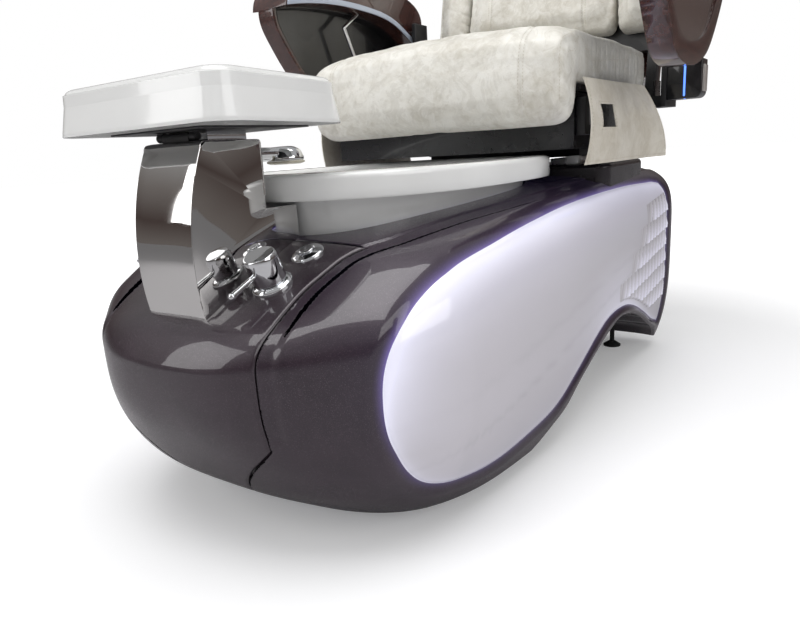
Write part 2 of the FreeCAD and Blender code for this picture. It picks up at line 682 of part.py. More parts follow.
def tub_shape():
    half_x = size("tub_half_width")
    half_y = size("tub_half_length")
    centre = size("tub_y")
    floor_z = size("tub_floor")
    wall = size("tub_wall")
    share = size("tub_floor_share")
    low = size("rim_low")
    top = size("rim_top")
    outer = Part.makeLoft([oval_wire(half_x * share, half_y * share, centre, floor_z - wall, 3.0),
                           oval_wire(half_x * 0.93, half_y * 0.93, centre, (floor_z + low) / 2, 3.0),
                           oval_wire(half_x, half_y, centre, low + wall, 3.0)], True, False)
    rim = Part.makeLoft([oval_wire(size("rim_half_width"), size("rim_half_length"), centre, z)
                         for z in (low, top)], True, False)
    rim = rim.makeFillet(size("rim_round"), [e for e in rim.Edges if e.BoundBox.ZMin > top - 1])
    margin = size("mouth_margin")
    bowl = Part.makeLoft([
        oval_wire(half_x * share - wall, half_y * share - wall, centre, floor_z, 3.0),
        oval_wire(half_x * 0.93 - wall, half_y * 0.93 - wall, centre, (floor_z + low) / 2, 3.0),
        oval_wire(half_x - wall, half_y - wall, centre, low, 3.0),
        oval_wire(size("rim_half_width") - margin, size("rim_half_length") - margin, centre,
                  top + wall, 2.8)], True, False)
    drain = Part.makeCylinder(size("drain_radius"), 4 * wall, V(0, centre, floor_z - 3 * wall))
    jet = Part.makeCylinder(size("jet_hole"), 20 * wall, V(0, centre + half_y - 15 * wall,
                                                           size("jet_height")), V(0, 1, 0))
    return outer.fuse(rim).cut(bowl).cut(drain).cut(jet), bowl


tub_solid, bowl_solid = tub_shape()
tub = node(feature("tub", tub_solid), "tub")
bowl = feature("bowl_room", bowl_solid)


def tub_wall_y(z):
    """Where the inside of the tub's rear wall lies at a height."""
    mid = (size("tub_floor") + size("rim_low")) / 2
    share = 0.93 + 0.07 * (z - mid) / (size("rim_low") - mid) if z > mid else 0.93 - \
        (0.93 - size("tub_floor_share")) * (mid - z) / (mid - size("tub_floor"))
    return size("tub_y") + share * size("tub_half_length") - size("tub_wall")


drain_body = turned("drain_body", [
    ("stopper_radius", "-drain_tail"), ("drain_radius - soft_gap", "-drain_tail"),
    ("drain_radius - soft_gap", "0"), ("drain_flange", "0"),
    ("drain_flange - drain_flange_thick", "drain_flange_thick"),
    ("stopper_radius + tub_gap", "drain_flange_thick"), ("stopper_radius", "0")])
place(drain_body, "0", "tub_y", "tub_floor")
bridge = box("drain_bridge", "2 * stopper_radius + tub_gap", "drain_flange_thick * 2",
             "drain_flange_thick", "-stopper_radius - tub_gap / 2", "tub_y - drain_flange_thick",
             "tub_floor - drain_tail / 2")
bridge_bore = rod("drain_bridge_bore", "stopper_stem + running_gap", "drain_tail", "0", "tub_y",
                  "tub_floor - drain_tail")
node(cut("drain_fitting", fuse("drain_with_bridge", drain_body, bridge), bridge_bore), "drain_fitting")
stopper = turned("drain_stopper", [
    ("0", "-drain_tail * 0.7"), ("stopper_stem", "-drain_tail * 0.7"), ("stopper_stem", "0"),
    ("stopper_radius - soft_gap", "stopper_thick * 0.4"), ("stopper_radius - soft_gap", "stopper_thick"),
    ("0", "stopper_thick * 1.4")])
place(stopper, "0", "tub_y", "tub_floor")
node(stopper, "drain_stopper")

jet_y = tub_wall_y(size("jet_height"))
facing = FreeCAD.Rotation(V(1, 0, 0), -90)


def jet_piece(name, profile):
    """A turned piece that lies along Y at the pump's height."""
    body = turned(name, profile)
    body.Placement = FreeCAD.Placement(V(0, jet_y, size("jet_height")), facing)
    return body


motor_body = jet_piece("jet_motor_body", [
    ("0", "0"), ("impeller_shaft", "0"), ("impeller_shaft", "impeller_width * 2"),
    ("jet_hole + soft_gap", "impeller_width * 2"), ("jet_hole + soft_gap", "-tub_wall * 2"),
    ("jet_radius", "-tub_wall * 2"), ("jet_radius", "impeller_width * 2"),
    ("jet_radius * 0.85", "impeller_width * 2.4"), ("jet_radius * 0.85", "jet_depth"),
    ("jet_radius * 0.5", "jet_depth + tub_wall"), ("0", "jet_depth + tub_wall")])
node(cut("jet_motor", motor_body, tub, bowl), "jet_motor")
node(jet_piece("jet_impeller", [
    ("impeller_shaft + running_gap", "tub_gap"), ("impeller_radius", "tub_gap"),
    ("impeller_radius", "impeller_width"), ("impeller_shaft + running_gap", "impeller_width")]),
    "jet_impeller")
cover_body = jet_piece("jet_cover_body", [
    ("impeller_radius * 0.4", "-jet_cover_thick - tub_wall"),
    ("jet_radius * 0.6", "-jet_cover_thick - tub_wall"), ("jet_radius", "-jet_cover_thick"),
    ("jet_radius", "tub_wall * 1.4"), ("jet_radius * 0.85", "tub_wall * 1.4"),
    ("jet_radius * 0.85", "-jet_cover_thick * 0.7"), ("impeller_radius * 0.4", "-jet_cover_thick * 1.2")])
node(common("jet_cover", cover_body, bowl), "jet_cover")

# Black oval overflow cover high on the rear wall

over_z = size("overflow_z")
over_y = size("tub_y") + size("rim_half_length") - size("mouth_margin") - size("overflow_thick") * 0.7
oval = Part.makeLoft([oval_wire(size("overflow_width") / 2, size("overflow_height") / 2, 0, z, 2.2, 16)
                      for z in (0, size("overflow_thick"))], True, False)
oval.rotate(V(0, 0, 0), V(1, 0, 0), 90)
oval.translate(V(0, over_y + size("overflow_thick"), over_z))
seated = divided(oval.cut(tub_solid), [0], (1, 0, 0))
node(feature("overflow_cover", seated), "overflow_cover")

# Polished tower: bent front strip, side plates

sheet_t = size("tower_sheet")


def front_arc(offset):
    """The strip's curved front in the middle plane, moved back by offset."""
    top = V(0, size("tower_front") + offset, size("tower_top") - size("tower_fold"))
    foot = V(0, size("tower_foot_y") + offset, size("tower_foot"))
    middle = V(0, (top.y + foot.y) / 2 - size("tower_bulge"), (top.z + foot.z) / 2 - size("tower_fold"))
    return Part.Arc(foot, middle, top).toShape(), foot, top


def strip_profile():
    outer, outer_foot, outer_top = front_arc(0)
    inner, inner_foot, inner_top = front_arc(sheet_t)
    fold = size("tower_fold")
    roof = size("tower_top")
    rear = size("tower_rear")
    low = size("back_flange_low")
    diagonal = fold * (1 - math.sqrt(0.5))
    small = fold - sheet_t
    edges = [outer, inner, Part.makeLine(outer_foot, inner_foot),
             Part.Arc(outer_top, V(0, outer_top.y + diagonal, roof - diagonal),
                      V(0, outer_top.y + fold, roof)).toShape(),
             Part.makeLine(V(0, outer_top.y + fold, roof), V(0, rear, roof)),
             Part.makeLine(V(0, rear, roof), V(0, rear, low)),
             Part.makeLine(V(0, rear, low), V(0, rear - sheet_t, low)),
             Part.makeLine(V(0, rear - sheet_t, low), V(0, rear - sheet_t, roof - sheet_t)),
             Part.makeLine(V(0, rear - sheet_t, roof - sheet_t),
                           V(0, inner_top.y + small, roof - sheet_t)),
             Part.Arc(inner_top, V(0, inner_top.y + small * (1 - math.sqrt(0.5)),
                                   roof - sheet_t - small * (1 - math.sqrt(0.5))),
                      V(0, inner_top.y + small, roof - sheet_t)).toShape()]
    return Part.Face(Part.Wire(Part.__sortEdges__(edges)))


half_tower = size("tower_half_width")
strip = strip_profile().extrude(V(2 * half_tower, 0, 0)).translated(V(-half_tower, 0, 0))
holder_bore = Part.makeCylinder(size("holder_radius") - 2 * sheet_t, HUGE / 4,
                                V(0, size("tower_rear") - 2 * sheet_t, size("sprayer_z")), V(0, 1, 0))
node(feature("tower_front_strip", strip.cut(hull(0)).cut(holder_bore)), "tower_front_strip")


def side_plate():
    arc, foot, top = front_arc(sheet_t + size("soft_gap"))
    roof = size("tower_top") - sheet_t - size("soft_gap")
    rear = size("tower_rear") - sheet_t - size("soft_gap")
    step_y = size("tower_step_rear")
    step_z = size("tower_step_z")
    corners = [top, V(0, top.y + size("tower_fold"), roof), V(0, rear, roof), V(0, rear, step_z),
               V(0, step_y, step_z), V(0, step_y, size("tower_foot")), foot]
    lines = [Part.makeLine(a, b) for a, b in zip(corners[:-1], corners[1:])]
    face = Part.Face(Part.Wire(Part.__sortEdges__([arc] + lines)))
    plate = face.extrude(V(sheet_t, 0, 0))
    return plate.translated(V(half_tower - size("tower_plate_inset") - sheet_t, 0, 0)).cut(hull(0))


plate = feature("tower_plate_right", side_plate())
compound = doc.addObject("Part::Compound", "tower_plates")
compound.Links = [plate, mirrored("tower_plate_left", plate)]
node(compound, "tower_plates")

# Sprayer in its holder on the tower's rear face

holder = turned("sprayer_holder", [
    ("handle_radius + running_gap", "-holder_length / 2"),
    ("holder_radius - 2 * tower_sheet", "-holder_length / 2"),
    ("holder_radius - 2 * tower_sheet", "0"), ("holder_radius", "0"),
    ("holder_radius - tower_sheet", "holder_length * 0.4"),
    ("handle_radius + running_gap", "holder_length * 0.4")])
holder.Placement.Rotation = facing
place(holder, "0", "tower_rear", "sprayer_z")
node(holder, "sprayer_holder")
stem = rod("sprayer_stem", "handle_radius", "head_y - tower_rear + holder_length / 2", "0",
           "tower_rear - holder_length / 2", "sprayer_z", facing)
dome = turned("sprayer_dome", [
    ("0", "-head_height / 2"), ("head_radius", "-head_height / 2"), ("head_radius", "-head_height / 4"),
    ("head_radius * 0.8", "head_height * 0.3"), ("head_radius * 0.45", "head_height / 2"),
    ("0", "head_height / 2")])
place(dome, "0", "head_y", "sprayer_z")
node(fuse("sprayer_head", stem, dome), "sprayer_head")
face_disc = turned("sprayer_face", [
    ("0", "-face_thick"), ("head_radius * 0.8", "-face_thick"), ("head_radius * 1.04", "-face_thick / 2"),
    ("head_radius * 1.04", "0"), ("0", "0")])
place(face_disc, "0", "head_y", "sprayer_z - head_height / 2")
node(face_disc, "sprayer_face")

# Footrest: channel and block on the tower, pin, plate and moulded pad

channel = cut("channel", box("channel_outer", "2 * channel_half", "channel_rear - channel_front",
                             "pad_low - tower_top - plate_thick - soft_gap", "-channel_half",
                             "channel_front", "tower_top"),
              box("channel_inner", "2 * channel_half - 2 * channel_sheet",
                  "channel_rear - channel_front", "pad_low - tower_top",
                  "-channel_half + channel_sheet", "channel_front", "tower_top + channel_sheet"))
node(channel, "footrest_channel")
pin_turn = FreeCAD.Rotation(V(0, 1, 0), 90)
hinge_z = "(tower_top + hinge_barrel + soft_gap)"
block = fuse("block_body",
             box("block_base", "2 * block_half", "2 * hinge_barrel", "hinge_barrel + soft_gap",
                 "-block_half", "hinge_y - hinge_barrel", "tower_top"),
             rod("block_barrel", "hinge_barrel", "2 * block_half", "-block_half", "hinge_y",
                 hinge_z, pin_turn),
             rod("block_pin", "hinge_pin", "2 * (block_half + knuckle_length)",
                 "-block_half - knuckle_length", "hinge_y", hinge_z, pin_turn))
node(block, "hinge_block")
knuckles = []
for word, x_text in (("right", "block_half + soft_gap"),
                     ("left", "-block_half - soft_gap - knuckle_length")):
    knuckles.append(rod("knuckle_" + word, "hinge_barrel", "knuckle_length", x_text, "hinge_y",
                        hinge_z, pin_turn))
    knuckles.append(box("knuckle_web_" + word, "knuckle_length", "hinge_barrel * 1.2",
                        "pad_low - tower_top - hinge_barrel - soft_gap", x_text,
                        "hinge_y - hinge_barrel * 0.6", hinge_z))
top_plate = box("footrest_top_plate", "2 * plate_half", "pad_rear - pad_front - 2 * pad_corner",
                "plate_thick", "-plate_half", "pad_front + pad_corner", "pad_low - plate_thick")
plate_room = cut("footrest_plate_cut", fuse("footrest_plate_body", top_plate, *knuckles),
                 rod("knuckle_bore", "hinge_pin + running_gap", "8 * block_half", "-4 * block_half",
                     "hinge_y", hinge_z, pin_turn),
                 box("block_room", "2 * (block_half + soft_gap)", "4 * hinge_barrel", "4 * hinge_barrel",
                     "-block_half - soft_gap", "hinge_y - 2 * hinge_barrel",
                     "tower_top - 2 * hinge_barrel"))
node(plate_room, "footrest_plate")


def pad_wire(z, shrink):
    """The footrest's rounded trapezium at a height, drawn in by shrink."""
    front = size("pad_front") + shrink
    rear = size("pad_rear") - shrink
    half_front = size("pad_front_half") - shrink
    half_rear = size("pad_rear_half") - shrink
    corners = [V(-half_front, front, z), V(half_front, front, z), V(half_rear, rear, z),
               V(-half_rear, rear, z)]
    reach = size("pad_corner") - shrink * 0.5
    edges = []
    last = None
    first = None
    for k in range(4):
        corner = corners[k]
        before = (corners[k - 1] - corner).normalize() * reach
        after = (corners[(k + 1) % 4] - corner).normalize() * reach
        start = corner + before
        end = corner + after
        middle = corner + (before + after) * (0.29 * 0.98)
        if last is not None:
            edges.append(Part.makeLine(last, start))
        else:
            first = start
        edges.append(Part.Arc(start, middle, end).toShape())
        last = end
    edges.append(Part.makeLine(last, first))
    return Part.Wire(edges)


def pad_solid(extra):
    draft = size("pad_draft")
    top = size("pad_top") - extra
    edge = size("pad_edge")
    low = size("pad_low")
    return Part.makeLoft([pad_wire(low, extra), pad_wire(top - edge, extra + draft),
                          pad_wire(top - edge * 0.3, extra + draft + edge * 0.3),
                          pad_wire(top, extra + draft + edge)], True, True)


pad = pad_solid(0).cut(pad_solid(size("pad_wall")))
ribs = Part.makeBox(2 * size("plate_half"), size("pad_wall"),
                    size("pad_top") - size("pad_low") - size("pad_wall"),
                    V(-size("plate_half"), (size("pad_front") + size("pad_rear")) / 2, size("pad_low")))
node(feature("footrest_pad", pad.fuse(ribs.common(pad_solid(0)))), "footrest_pad")

# Controls on the sloping hood: each fixed foot is trimmed to the cover it stands on

slope = FreeCAD.Rotation(V(1, 0, 0), size("hood_slope"))


def hood_place(item, x, y, z):
    item.Placement.Rotation = slope
    return place(item, x, y, z)


def on_hood(name, shape, x, y, z, side=1):
    shape.Placement = hood_placement(size(x), size(y), size(z), side).multiply(shape.Placement)
    return feature(name, shape)


def trimmed(name, foot):
    return node(cut(name, foot, nose_cover, base_shell), name)


# Mixer tap: foot with its post, cap that turns on the post, lever that tips in the cap

mixer_foot = turned("mixer_foot", [
    ("0", "-cap_low * 2"), ("cartridge_radius", "-cap_low * 2"), ("cartridge_radius", "-flange_skirt"),
    ("flange_radius", "-flange_skirt"), ("flange_radius", "flange_thick * 0.5"),
    ("flange_radius * 0.88", "flange_thick"), ("cap_radius * 0.9", "cap_low"),
    ("stem_radius", "cap_low"), ("stem_radius", "cap_low + cap_height * 0.5"),
    ("0", "cap_low + cap_height * 0.5")])
trimmed("mixer_flange", hood_place(mixer_foot, "mixer_x", "mixer_y", "mixer_z"))
cap_body = turned("mixer_cap_body", [
    ("stem_radius + running_gap", "cap_low + soft_gap"), ("cap_radius", "cap_low + soft_gap"),
    ("cap_radius", "cap_low + cap_height * 0.95"), ("cap_radius * 0.92", "cap_low + cap_height"),
    ("0", "cap_low + cap_height"), ("0", "cap_low + cap_height * 0.5 + soft_gap"),
    ("stem_radius + running_gap", "cap_low + cap_height * 0.5 + soft_gap")])
hood_place(cap_body, "mixer_x", "mixer_y", "mixer_z")
reach_in = size("cap_radius") * 0.55
thin = size("lever_radius")
lever_z = size("cap_low") + 4.5 * thin
lever_room = Part.makeBox(4 * thin, size("cap_radius"), 5 * thin,
                          V(-2 * thin, 1.5 * thin - reach_in - size("cap_radius"), lever_z - 2.5 * thin))
lever_bore = Part.makeCylinder(0.8 * thin + size("running_gap"), 6 * thin,
                               V(-3 * thin, -reach_in, lever_z), V(1, 0, 0))
lever_room = on_hood("lever_room", lever_room.fuse(lever_bore), "mixer_x", "mixer_y", "mixer_z")
node(cut("mixer_cap", cap_body, lever_room), "mixer_cap")
lever = Part.makeCylinder(thin, size("lever_length"), V(0, -reach_in, lever_z), V(0, -1, 0))
lever = lever.multiFuse([
    Part.makeSphere(size("lever_knob"), V(0, -reach_in - size("lever_length"), lever_z)),
    Part.makeCylinder(0.8 * thin, 6 * thin, V(-3 * thin, -reach_in, lever_z), V(1, 0, 0))])
node(on_hood("mixer_lever", lever, "mixer_x", "mixer_y", "mixer_z"), "mixer_lever")

# Diverter on the other side of the tower

diverter_foot = turned("diverter_foot", [
    ("0", "-cap_low * 2"), ("cartridge_radius", "-cap_low * 2"), ("cartridge_radius", "-flange_skirt"),
    ("knob_radius + flange_thick", "-flange_skirt"), ("knob_radius + flange_thick", "flange_thick * 0.4"),
    ("knob_radius + flange_thick * 0.5", "flange_thick"), ("stem_radius", "flange_thick"),
    ("stem_radius", "flange_thick + knob_height * 0.5"), ("0", "flange_thick + knob_height * 0.5")])
trimmed("diverter_base", hood_place(diverter_foot, "-diverter_x", "mixer_y", "mixer_z"))
knob = turned("diverter_knob_body", [
    ("stem_radius + running_gap", "flange_thick + soft_gap"), ("knob_radius", "flange_thick + soft_gap"),
    ("knob_radius * 0.86", "flange_thick + knob_height"), ("0", "flange_thick + knob_height"),
    ("0", "flange_thick + knob_height * 0.5 + soft_gap"),
    ("stem_radius + running_gap", "flange_thick + knob_height * 0.5 + soft_gap")])
hood_place(knob, "-diverter_x", "mixer_y", "mixer_z")
grip = Part.makeBox(2 * thin, size("knob_radius") * 2.3, size("knob_height") * 0.3,
                    V(-thin, -size("knob_radius") * 1.15,
                      size("flange_thick") + size("knob_height") * 0.95))
grip = on_hood("diverter_grip", grip, "diverter_x", "mixer_y", "mixer_z", -1)
node(fuse("diverter_knob", knob, grip), "diverter_knob")

# Push button in its ring

button_ring = turned("button_ring", [
    ("button_radius - tub_gap", "-cap_low * 2"), ("button_radius + tub_gap * 0.5", "-cap_low * 2"),
    ("button_radius + tub_gap * 0.5", "-flange_skirt"), ("button_flange", "-flange_skirt"),
    ("button_flange", "flange_thick * 0.2"), ("button_flange * 0.9", "flange_thick * 0.6"),
    ("button_radius + tub_gap", "flange_thick"), ("button_radius + running_gap", "flange_thick * 0.7"),
    ("button_radius + running_gap", "0"), ("button_radius - tub_gap", "0")])
trimmed("button_flange_ring", hood_place(button_ring, "button_x", "button_y", "button_z"))
button = turned("pump_button", [
    ("0", "button_travel"), ("button_radius", "button_travel"),
    ("button_radius", "button_travel + button_thick * 0.8"),
    ("button_radius * 0.8", "button_travel + button_thick"), ("0", "button_travel + button_thick * 0.8")])
node(hood_place(button, "button_x", "button_y", "button_z"), "pump_button")

# Seat tracks on the step, carriage, apron and seat pan

tracks = []
for word, x_text in (("right", "track_x"), ("left", "-track_x")):
    tracks.append(box("track_" + word, "track_width", "track_rear - track_front", "track_height",
                      x_text + " - track_width / 2", "track_front", "step_top"))
node(fuse("seat_tracks", *tracks), "seat_tracks")
stops = []
for word, x_text in (("right", "track_x + track_width / 2 + soft_gap"),
                     ("left", "-track_x - track_width / 2 - soft_gap - stop_length")):
    stops.append(box("stop_" + word, "stop_length", "stop_length", "track_height * 1.3", x_text,
                     "track_front", "step_top"))
compound = doc.addObject("Part::Compound", "track_stops")
compound.Links = stops
node(compound, "track_stops")

carriage_low = "step_top + track_height + slide_gap"
node(fuse("seat_carriage",
          box("carriage_plate_main", "2 * track_x + track_width", "carriage_rear - carriage_front",
              "carriage_top - step_top - track_height - slide_gap", "-track_x - track_width / 2",
              "carriage_front", carriage_low),
          box("carriage_beam", "2 * (apron_half - apron_wall - tub_gap)", "carriage_plate * 8",
              "pan_low - carriage_top + carriage_plate", "-apron_half + apron_wall + tub_gap",
              "(carriage_front + carriage_rear) / 2", "carriage_top - carriage_plate")),
     "seat_carriage")
apron_outer = box("apron_outer", "2 * apron_half", "apron_rear - apron_front",
                  "pan_low - carriage_top", "-apron_half", "apron_front", "carriage_top")
apron_inner = box("apron_inner", "2 * (apron_half - apron_wall)",
                  "apron_rear - apron_front - 2 * apron_wall", "2 * (pan_low - carriage_top)",
                  "-apron_half + apron_wall", "apron_front + apron_wall", "carriage_top - apron_wall")
bars = [cut("apron", apron_outer, apron_inner),
        box("seat_pan_board", "2 * (seat_half - pan_thick)", "pivot_y - 2 * pan_thick - apron_front",
            "pan_thick", "-seat_half + pan_thick", "apron_front", "pan_low")]
for word, x_text, root_text in (("right", "ear_x", "ear_x - 2 * pan_thick"),
                                ("left", "-ear_x - ear_thick", "-ear_x - ear_thick")):
    bars.append(box("ear_" + word, "ear_thick", "pivot_pin * 8", "pivot_z - pan_low + pivot_pin * 3",
                    x_text, "pivot_y - pivot_pin * 6", "pan_low"))
    bars.append(box("ear_root_" + word, "ear_thick + 2 * pan_thick", "pivot_pin * 2", "pan_thick",
                    root_text, "pivot_y - pivot_pin * 6", "pan_low"))
ear_bore = rod("ear_bore", "pivot_pin + running_gap", "4 * ear_x", "-2 * ear_x", "pivot_y", "pivot_z",
               pin_turn)
node(cut("seat_frame", fuse("seat_frame_body", *bars), ear_bore), "seat_frame")

# Seat cushion: crowned top, drawn-in sides, a front roll that hangs over the underframe


def cushion_section(half_x, low, high, y, crown, pinch):
    """One upright section across a cushion, from lines and arcs of under a half circle."""
    mid = (low + high) / 2
    corner = (high - low) * 0.22
    left_low = V(-half_x + corner, y, low)
    right_low = V(half_x - corner, y, low)
    side_low = V(half_x, y, low + corner)
    side_high = V(half_x, y, high - corner)
    right_high = V(half_x - corner, y, high)
    nick = corner * (1 - math.sqrt(0.5))

    def flip(p):
        return V(-p.x, p.y, p.z)

    right = [Part.Arc(right_low, V(half_x - nick, y, low + nick), side_low).toShape(),
             Part.Arc(side_low, V(half_x - pinch, y, mid), side_high).toShape(),
             Part.Arc(side_high, V(half_x - nick, y, high - nick), right_high).toShape()]
    top = Part.Arc(right_high, V(0, y, high + crown), flip(right_high)).toShape()
    left = [Part.Arc(flip(right_high), V(-half_x + nick, y, high - nick), flip(side_high)).toShape(),
            Part.Arc(flip(side_high), V(-half_x + pinch, y, mid), flip(side_low)).toShape(),
            Part.Arc(flip(side_low), V(-half_x + nick, y, low + nick), left_low).toShape()]
    return Part.Wire([Part.makeLine(left_low, right_low)] + right + [top] + left)


def seat_shape():
    front = size("seat_front")
    rear = size("seat_rear")
    top = size("seat_top")
    crown = size("seat_crown")
    pinch = size("seat_pinch")
    deep = size("roll_low")
    shallow = size("pan_low") + size("pan_thick")
    roll = size("roll_rear")
    height = top - deep
    # place along Y, share of the half width, height of the underside and height of the edge
    stations = [(front, 0.95, deep + 0.26 * height, top - 0.30 * height),
                (front + 0.03 * height, 0.975, deep + 0.16 * height, top - 0.17 * height),
                (front + 0.12 * height, 0.992, deep + 0.06 * height, top - 0.07 * height),
                (front + 0.28 * height, 1.0, deep, top - 0.01 * height),
                (roll - 0.10 * height, 1.0, deep + 0.02 * height, top),
                (roll - 0.03 * height, 1.0, deep + 0.10 * height, top),
                (roll, 1.0, shallow, top), (0.5 * (roll + rear), 0.992, shallow, top),
                (rear - 0.12 * height, 0.98, shallow, top - 0.02 * height),
                (rear, 0.955, shallow + 0.06 * height, top - 0.12 * height)]
    wires = []
    for y, share, low, high in stations:
        wires.append(cushion_section(size("seat_half") * share, low, high, y,
                                     crown * (1 - 3 * (top - high) / height), pinch * (high - low) / height))
    return Part.makeLoft(wires, True, True)


node(feature("seat_cushion", seat_shape().translated(V(0, 0, size("soft_gap")))), "seat_cushion")

# Leather side flaps, hanging from the cushion's lower seam

def flap_edge(y_front, y_rear, z, x_front, x_rear, wave):
    length = y_rear - y_front
    shares = [0.0, 0.25, 0.5, 0.75, 1.0]
    return [V(x_front + (x_rear - x_front) * share ** 1.5 + wave * math.sin(math.pi * 2 * share),
              y_front + length * share, z) for share in shares]


def flap_shape(window):
    start = size("seat_half") + size("soft_gap") * 4
    top = flap_edge(size("flap_front"), size("flap_rear"), size("flap_top"), start,
                    start + size("flap_flare") * 0.15, 0)
    low = flap_edge(size("flap_front"), size("flap_rear") + size("flap_swing"), size("flap_low"),
                    start + size("flap_flare") * 0.1, start + size("flap_flare"), size("flap_wave"))
    mid = [(a + b) * 0.5 + V(size("flap_bulge"), 0, 0) for a, b in zip(top, low)]
    shift = V(size("flap_thick"), 0, 0)
    wires = []
    for line in (top, mid, low):
        inner = spline_edge(line)
        outer = spline_edge([p + shift for p in line])
        wires.append(Part.Wire([inner, Part.makeLine(line[-1], line[-1] + shift), outer,
                                Part.makeLine(line[0] + shift, line[0])]))
    solid = Part.makeLoft(wires, True, False)
    edge = size("seat_half") - size("pan_thick")
    hem_front = size("apron_front") + size("apron_wall")
    hem = Part.makeBox(start - edge + size("flap_bulge") * 0.48, size("flap_rear") - hem_front,
                       size("hem_high") - size("hem_low"), V(edge, hem_front, size("hem_low")))
    solid = solid.fuse(hem)
    if window:
        solid = solid.cut(Part.makeBox(HUGE, size("window_width"), size("window_height"),
                                       V(0, size("window_y"), size("window_z"))))
    return solid


node(feature("side_flap_right", flap_shape(True)), "side_flap_right")
node(feature("side_flap_left", flap_shape(False).mirror(V(0, 0, 0), V(1, 0, 0))), "side_flap_left")

node(box("switch_box", "box_depth", "box_length", "box_high - box_low", "apron_half",
         "window_y + window_width / 2 - box_length / 2", "box_low"), "switch_box")

# Backrest: frame, shell, cushion, wings and pillow, leaning back about the pivot

lean = FreeCAD.Placement(V(0, size("pivot_y"), size("pivot_z")),
                         FreeCAD.Rotation(V(1, 0, 0), -size("back_lean")))


def leaned(shape):
    shape.Placement = lean.multiply(shape.Placement)
    return shape


rise = size("back_rise")
width = size("upright_width")
depth = size("upright_depth")


def back_frame_shape():
    bars = []
    for side in (1, -1):
        x = size("upright_x") if side > 0 else -size("upright_x") - width
        low = -2.5 * size("pivot_pin")
        bars.append(Part.makeBox(width, depth, rise * 0.92 - low, V(x, -depth / 2, low)))
    for share in (0.12, 0.5, 0.88):
        bars.append(Part.makeBox(2 * size("upright_x"), depth * 0.6, width,
                                 V(-size("upright_x"), -depth * 0.3, rise * share)))
    bars.append(Part.makeBox(2 * size("upright_x"), depth * 0.2, rise * 0.8,
                             V(-size("upright_x"), -depth / 2, rise * 0.12)))
    frame = bars[0].multiFuse(bars[1:])
    pins = []
    for side in (1, -1):
        x = size("upright_x") + width - 1 if side > 0 else -size("ear_x") - size("ear_thick")
        pins.append(Part.makeCylinder(size("pivot_pin"), size("ear_x") + size("ear_thick")
                                      - size("upright_x") - width + 1, V(x, 0, 0), V(1, 0, 0)))
    return frame.multiFuse(pins)


node(feature("back_frame", leaned(back_frame_shape())), "back_frame")


def back_cushion_shape(half, thick, low, high, rear, crown, pinch):
    """An upright cushion in the backrest's own axes: lofted from low to high."""
    rise_share = thick / (high - low)
    stations = [(0.0, 0.93, 0.36), (0.10, 0.965, 0.20), (0.35, 0.99, 0.07), (0.8, 1.0, 0.0)]
    wires = []
    for share, width_share, lost in stations:
        wires.append((share * rise_share, width_share, lost))
    for share, width_share, lost in reversed(stations):
        wires.append((1 - share * rise_share, width_share, lost))
    sections = []
    for share, width_share, lost in wires:
        wire = cushion_section(half * width_share, 0, thick * (1 - lost), 0, crown * (1 - lost), pinch)
        wire.rotate(V(0, 0, 0), V(1, 0, 0), 90)
        wire.translate(V(0, rear, low + (high - low) * share))
        sections.append(wire)
    return Part.makeLoft(sections, True, True)


gap = size("soft_gap")
crown = size("seat_crown")
pinch = size("seat_pinch")
cushion_rear = -depth / 2 - gap
back_low = size("seat_top") + crown + 2 * size("pan_thick") - size("pivot_z")
centre = back_cushion_shape(size("back_half"), size("back_thick"), back_low, rise, cushion_rear,
                            crown * 0.6, pinch * 0.6)
node(feature("back_cushion", leaned(centre)), "back_cushion")
for side, word in ((1, "right"), (-1, "left")):
    wing = back_cushion_shape(size("wing_width") / 2, size("wing_thick"), back_low, rise * 0.97,
                              cushion_rear, crown * 0.4, pinch * 0.4)
    wing.translate(V(side * (size("back_half") + size("wing_width") / 2 + 2 * gap), 0, 0))
    node(feature("back_wing_" + word, leaned(wing)), "back_wing_" + word)
pillow = back_cushion_shape(size("pillow_half"), size("pillow_thick") * 0.8, rise - size("pillow_height"),
                            rise - size("pillow_thick") * 0.2,
                            cushion_rear - size("back_thick") - crown * 0.6 - 2 * gap,
                            crown * 0.4, pinch * 0.4)
node(feature("head_pillow", leaned(pillow)), "head_pillow")


def back_shell_shape():
    half = size("upright_x") + width
    outer = Part.makeBox(2 * half, size("shell_depth"), rise, V(-half, depth / 2 + size("soft_gap"), 0))
    upright = [e for e in outer.Edges if abs(e.Vertexes[0].Z - e.Vertexes[-1].Z) > 1
               and e.BoundBox.YMin > depth / 2 + size("shell_depth") * 0.9]
    crown = [e for e in outer.Edges if e.BoundBox.ZMin > rise - 1
             and e.BoundBox.YMin > depth / 2 + size("shell_depth") * 0.9]
    outer = outer.makeFillet(size("shell_depth") * 0.8, upright + crown)
    wall = size("shell_thick")
    inner = Part.makeBox(2 * (half - wall), size("shell_depth") - wall, rise - 2 * wall,
                         V(-half + wall, depth / 2 + size("soft_gap"), wall))
    return outer.cut(inner)


node(feature("back_shell", leaned(back_shell_shape())), "back_shell")

# Armrests: a panel hanging from a wider rail, open and lined on the side that faces the seat

ARM_SHARES = [(0.0, 0.70), (0.006, 0.59), (0.044, 0.46), (0.092, 0.33), (0.163, 0.167), (0.225, 0.055),
              (0.323, 0.0), (0.50, 0.005), (0.606, 0.05), (0.70, 0.12), (0.80, 0.26), (0.89, 0.43),
              (0.965, 0.635), (0.975, 0.82), (0.872, 0.955), (0.624, 1.0), (0.305, 0.98), (0.092, 0.90),
              (0.018, 0.80)]
RAIL_SHARES = [(-0.08, 0.66), (0.188, 0.753), (0.404, 0.774), (0.548, 0.764), (0.727, 0.712),
               (0.824, 0.635), (1.08, 0.40)]
LINK_SHARES = [(0.53, 0.25), (0.425, 0.635), (0.55, 0.80)]


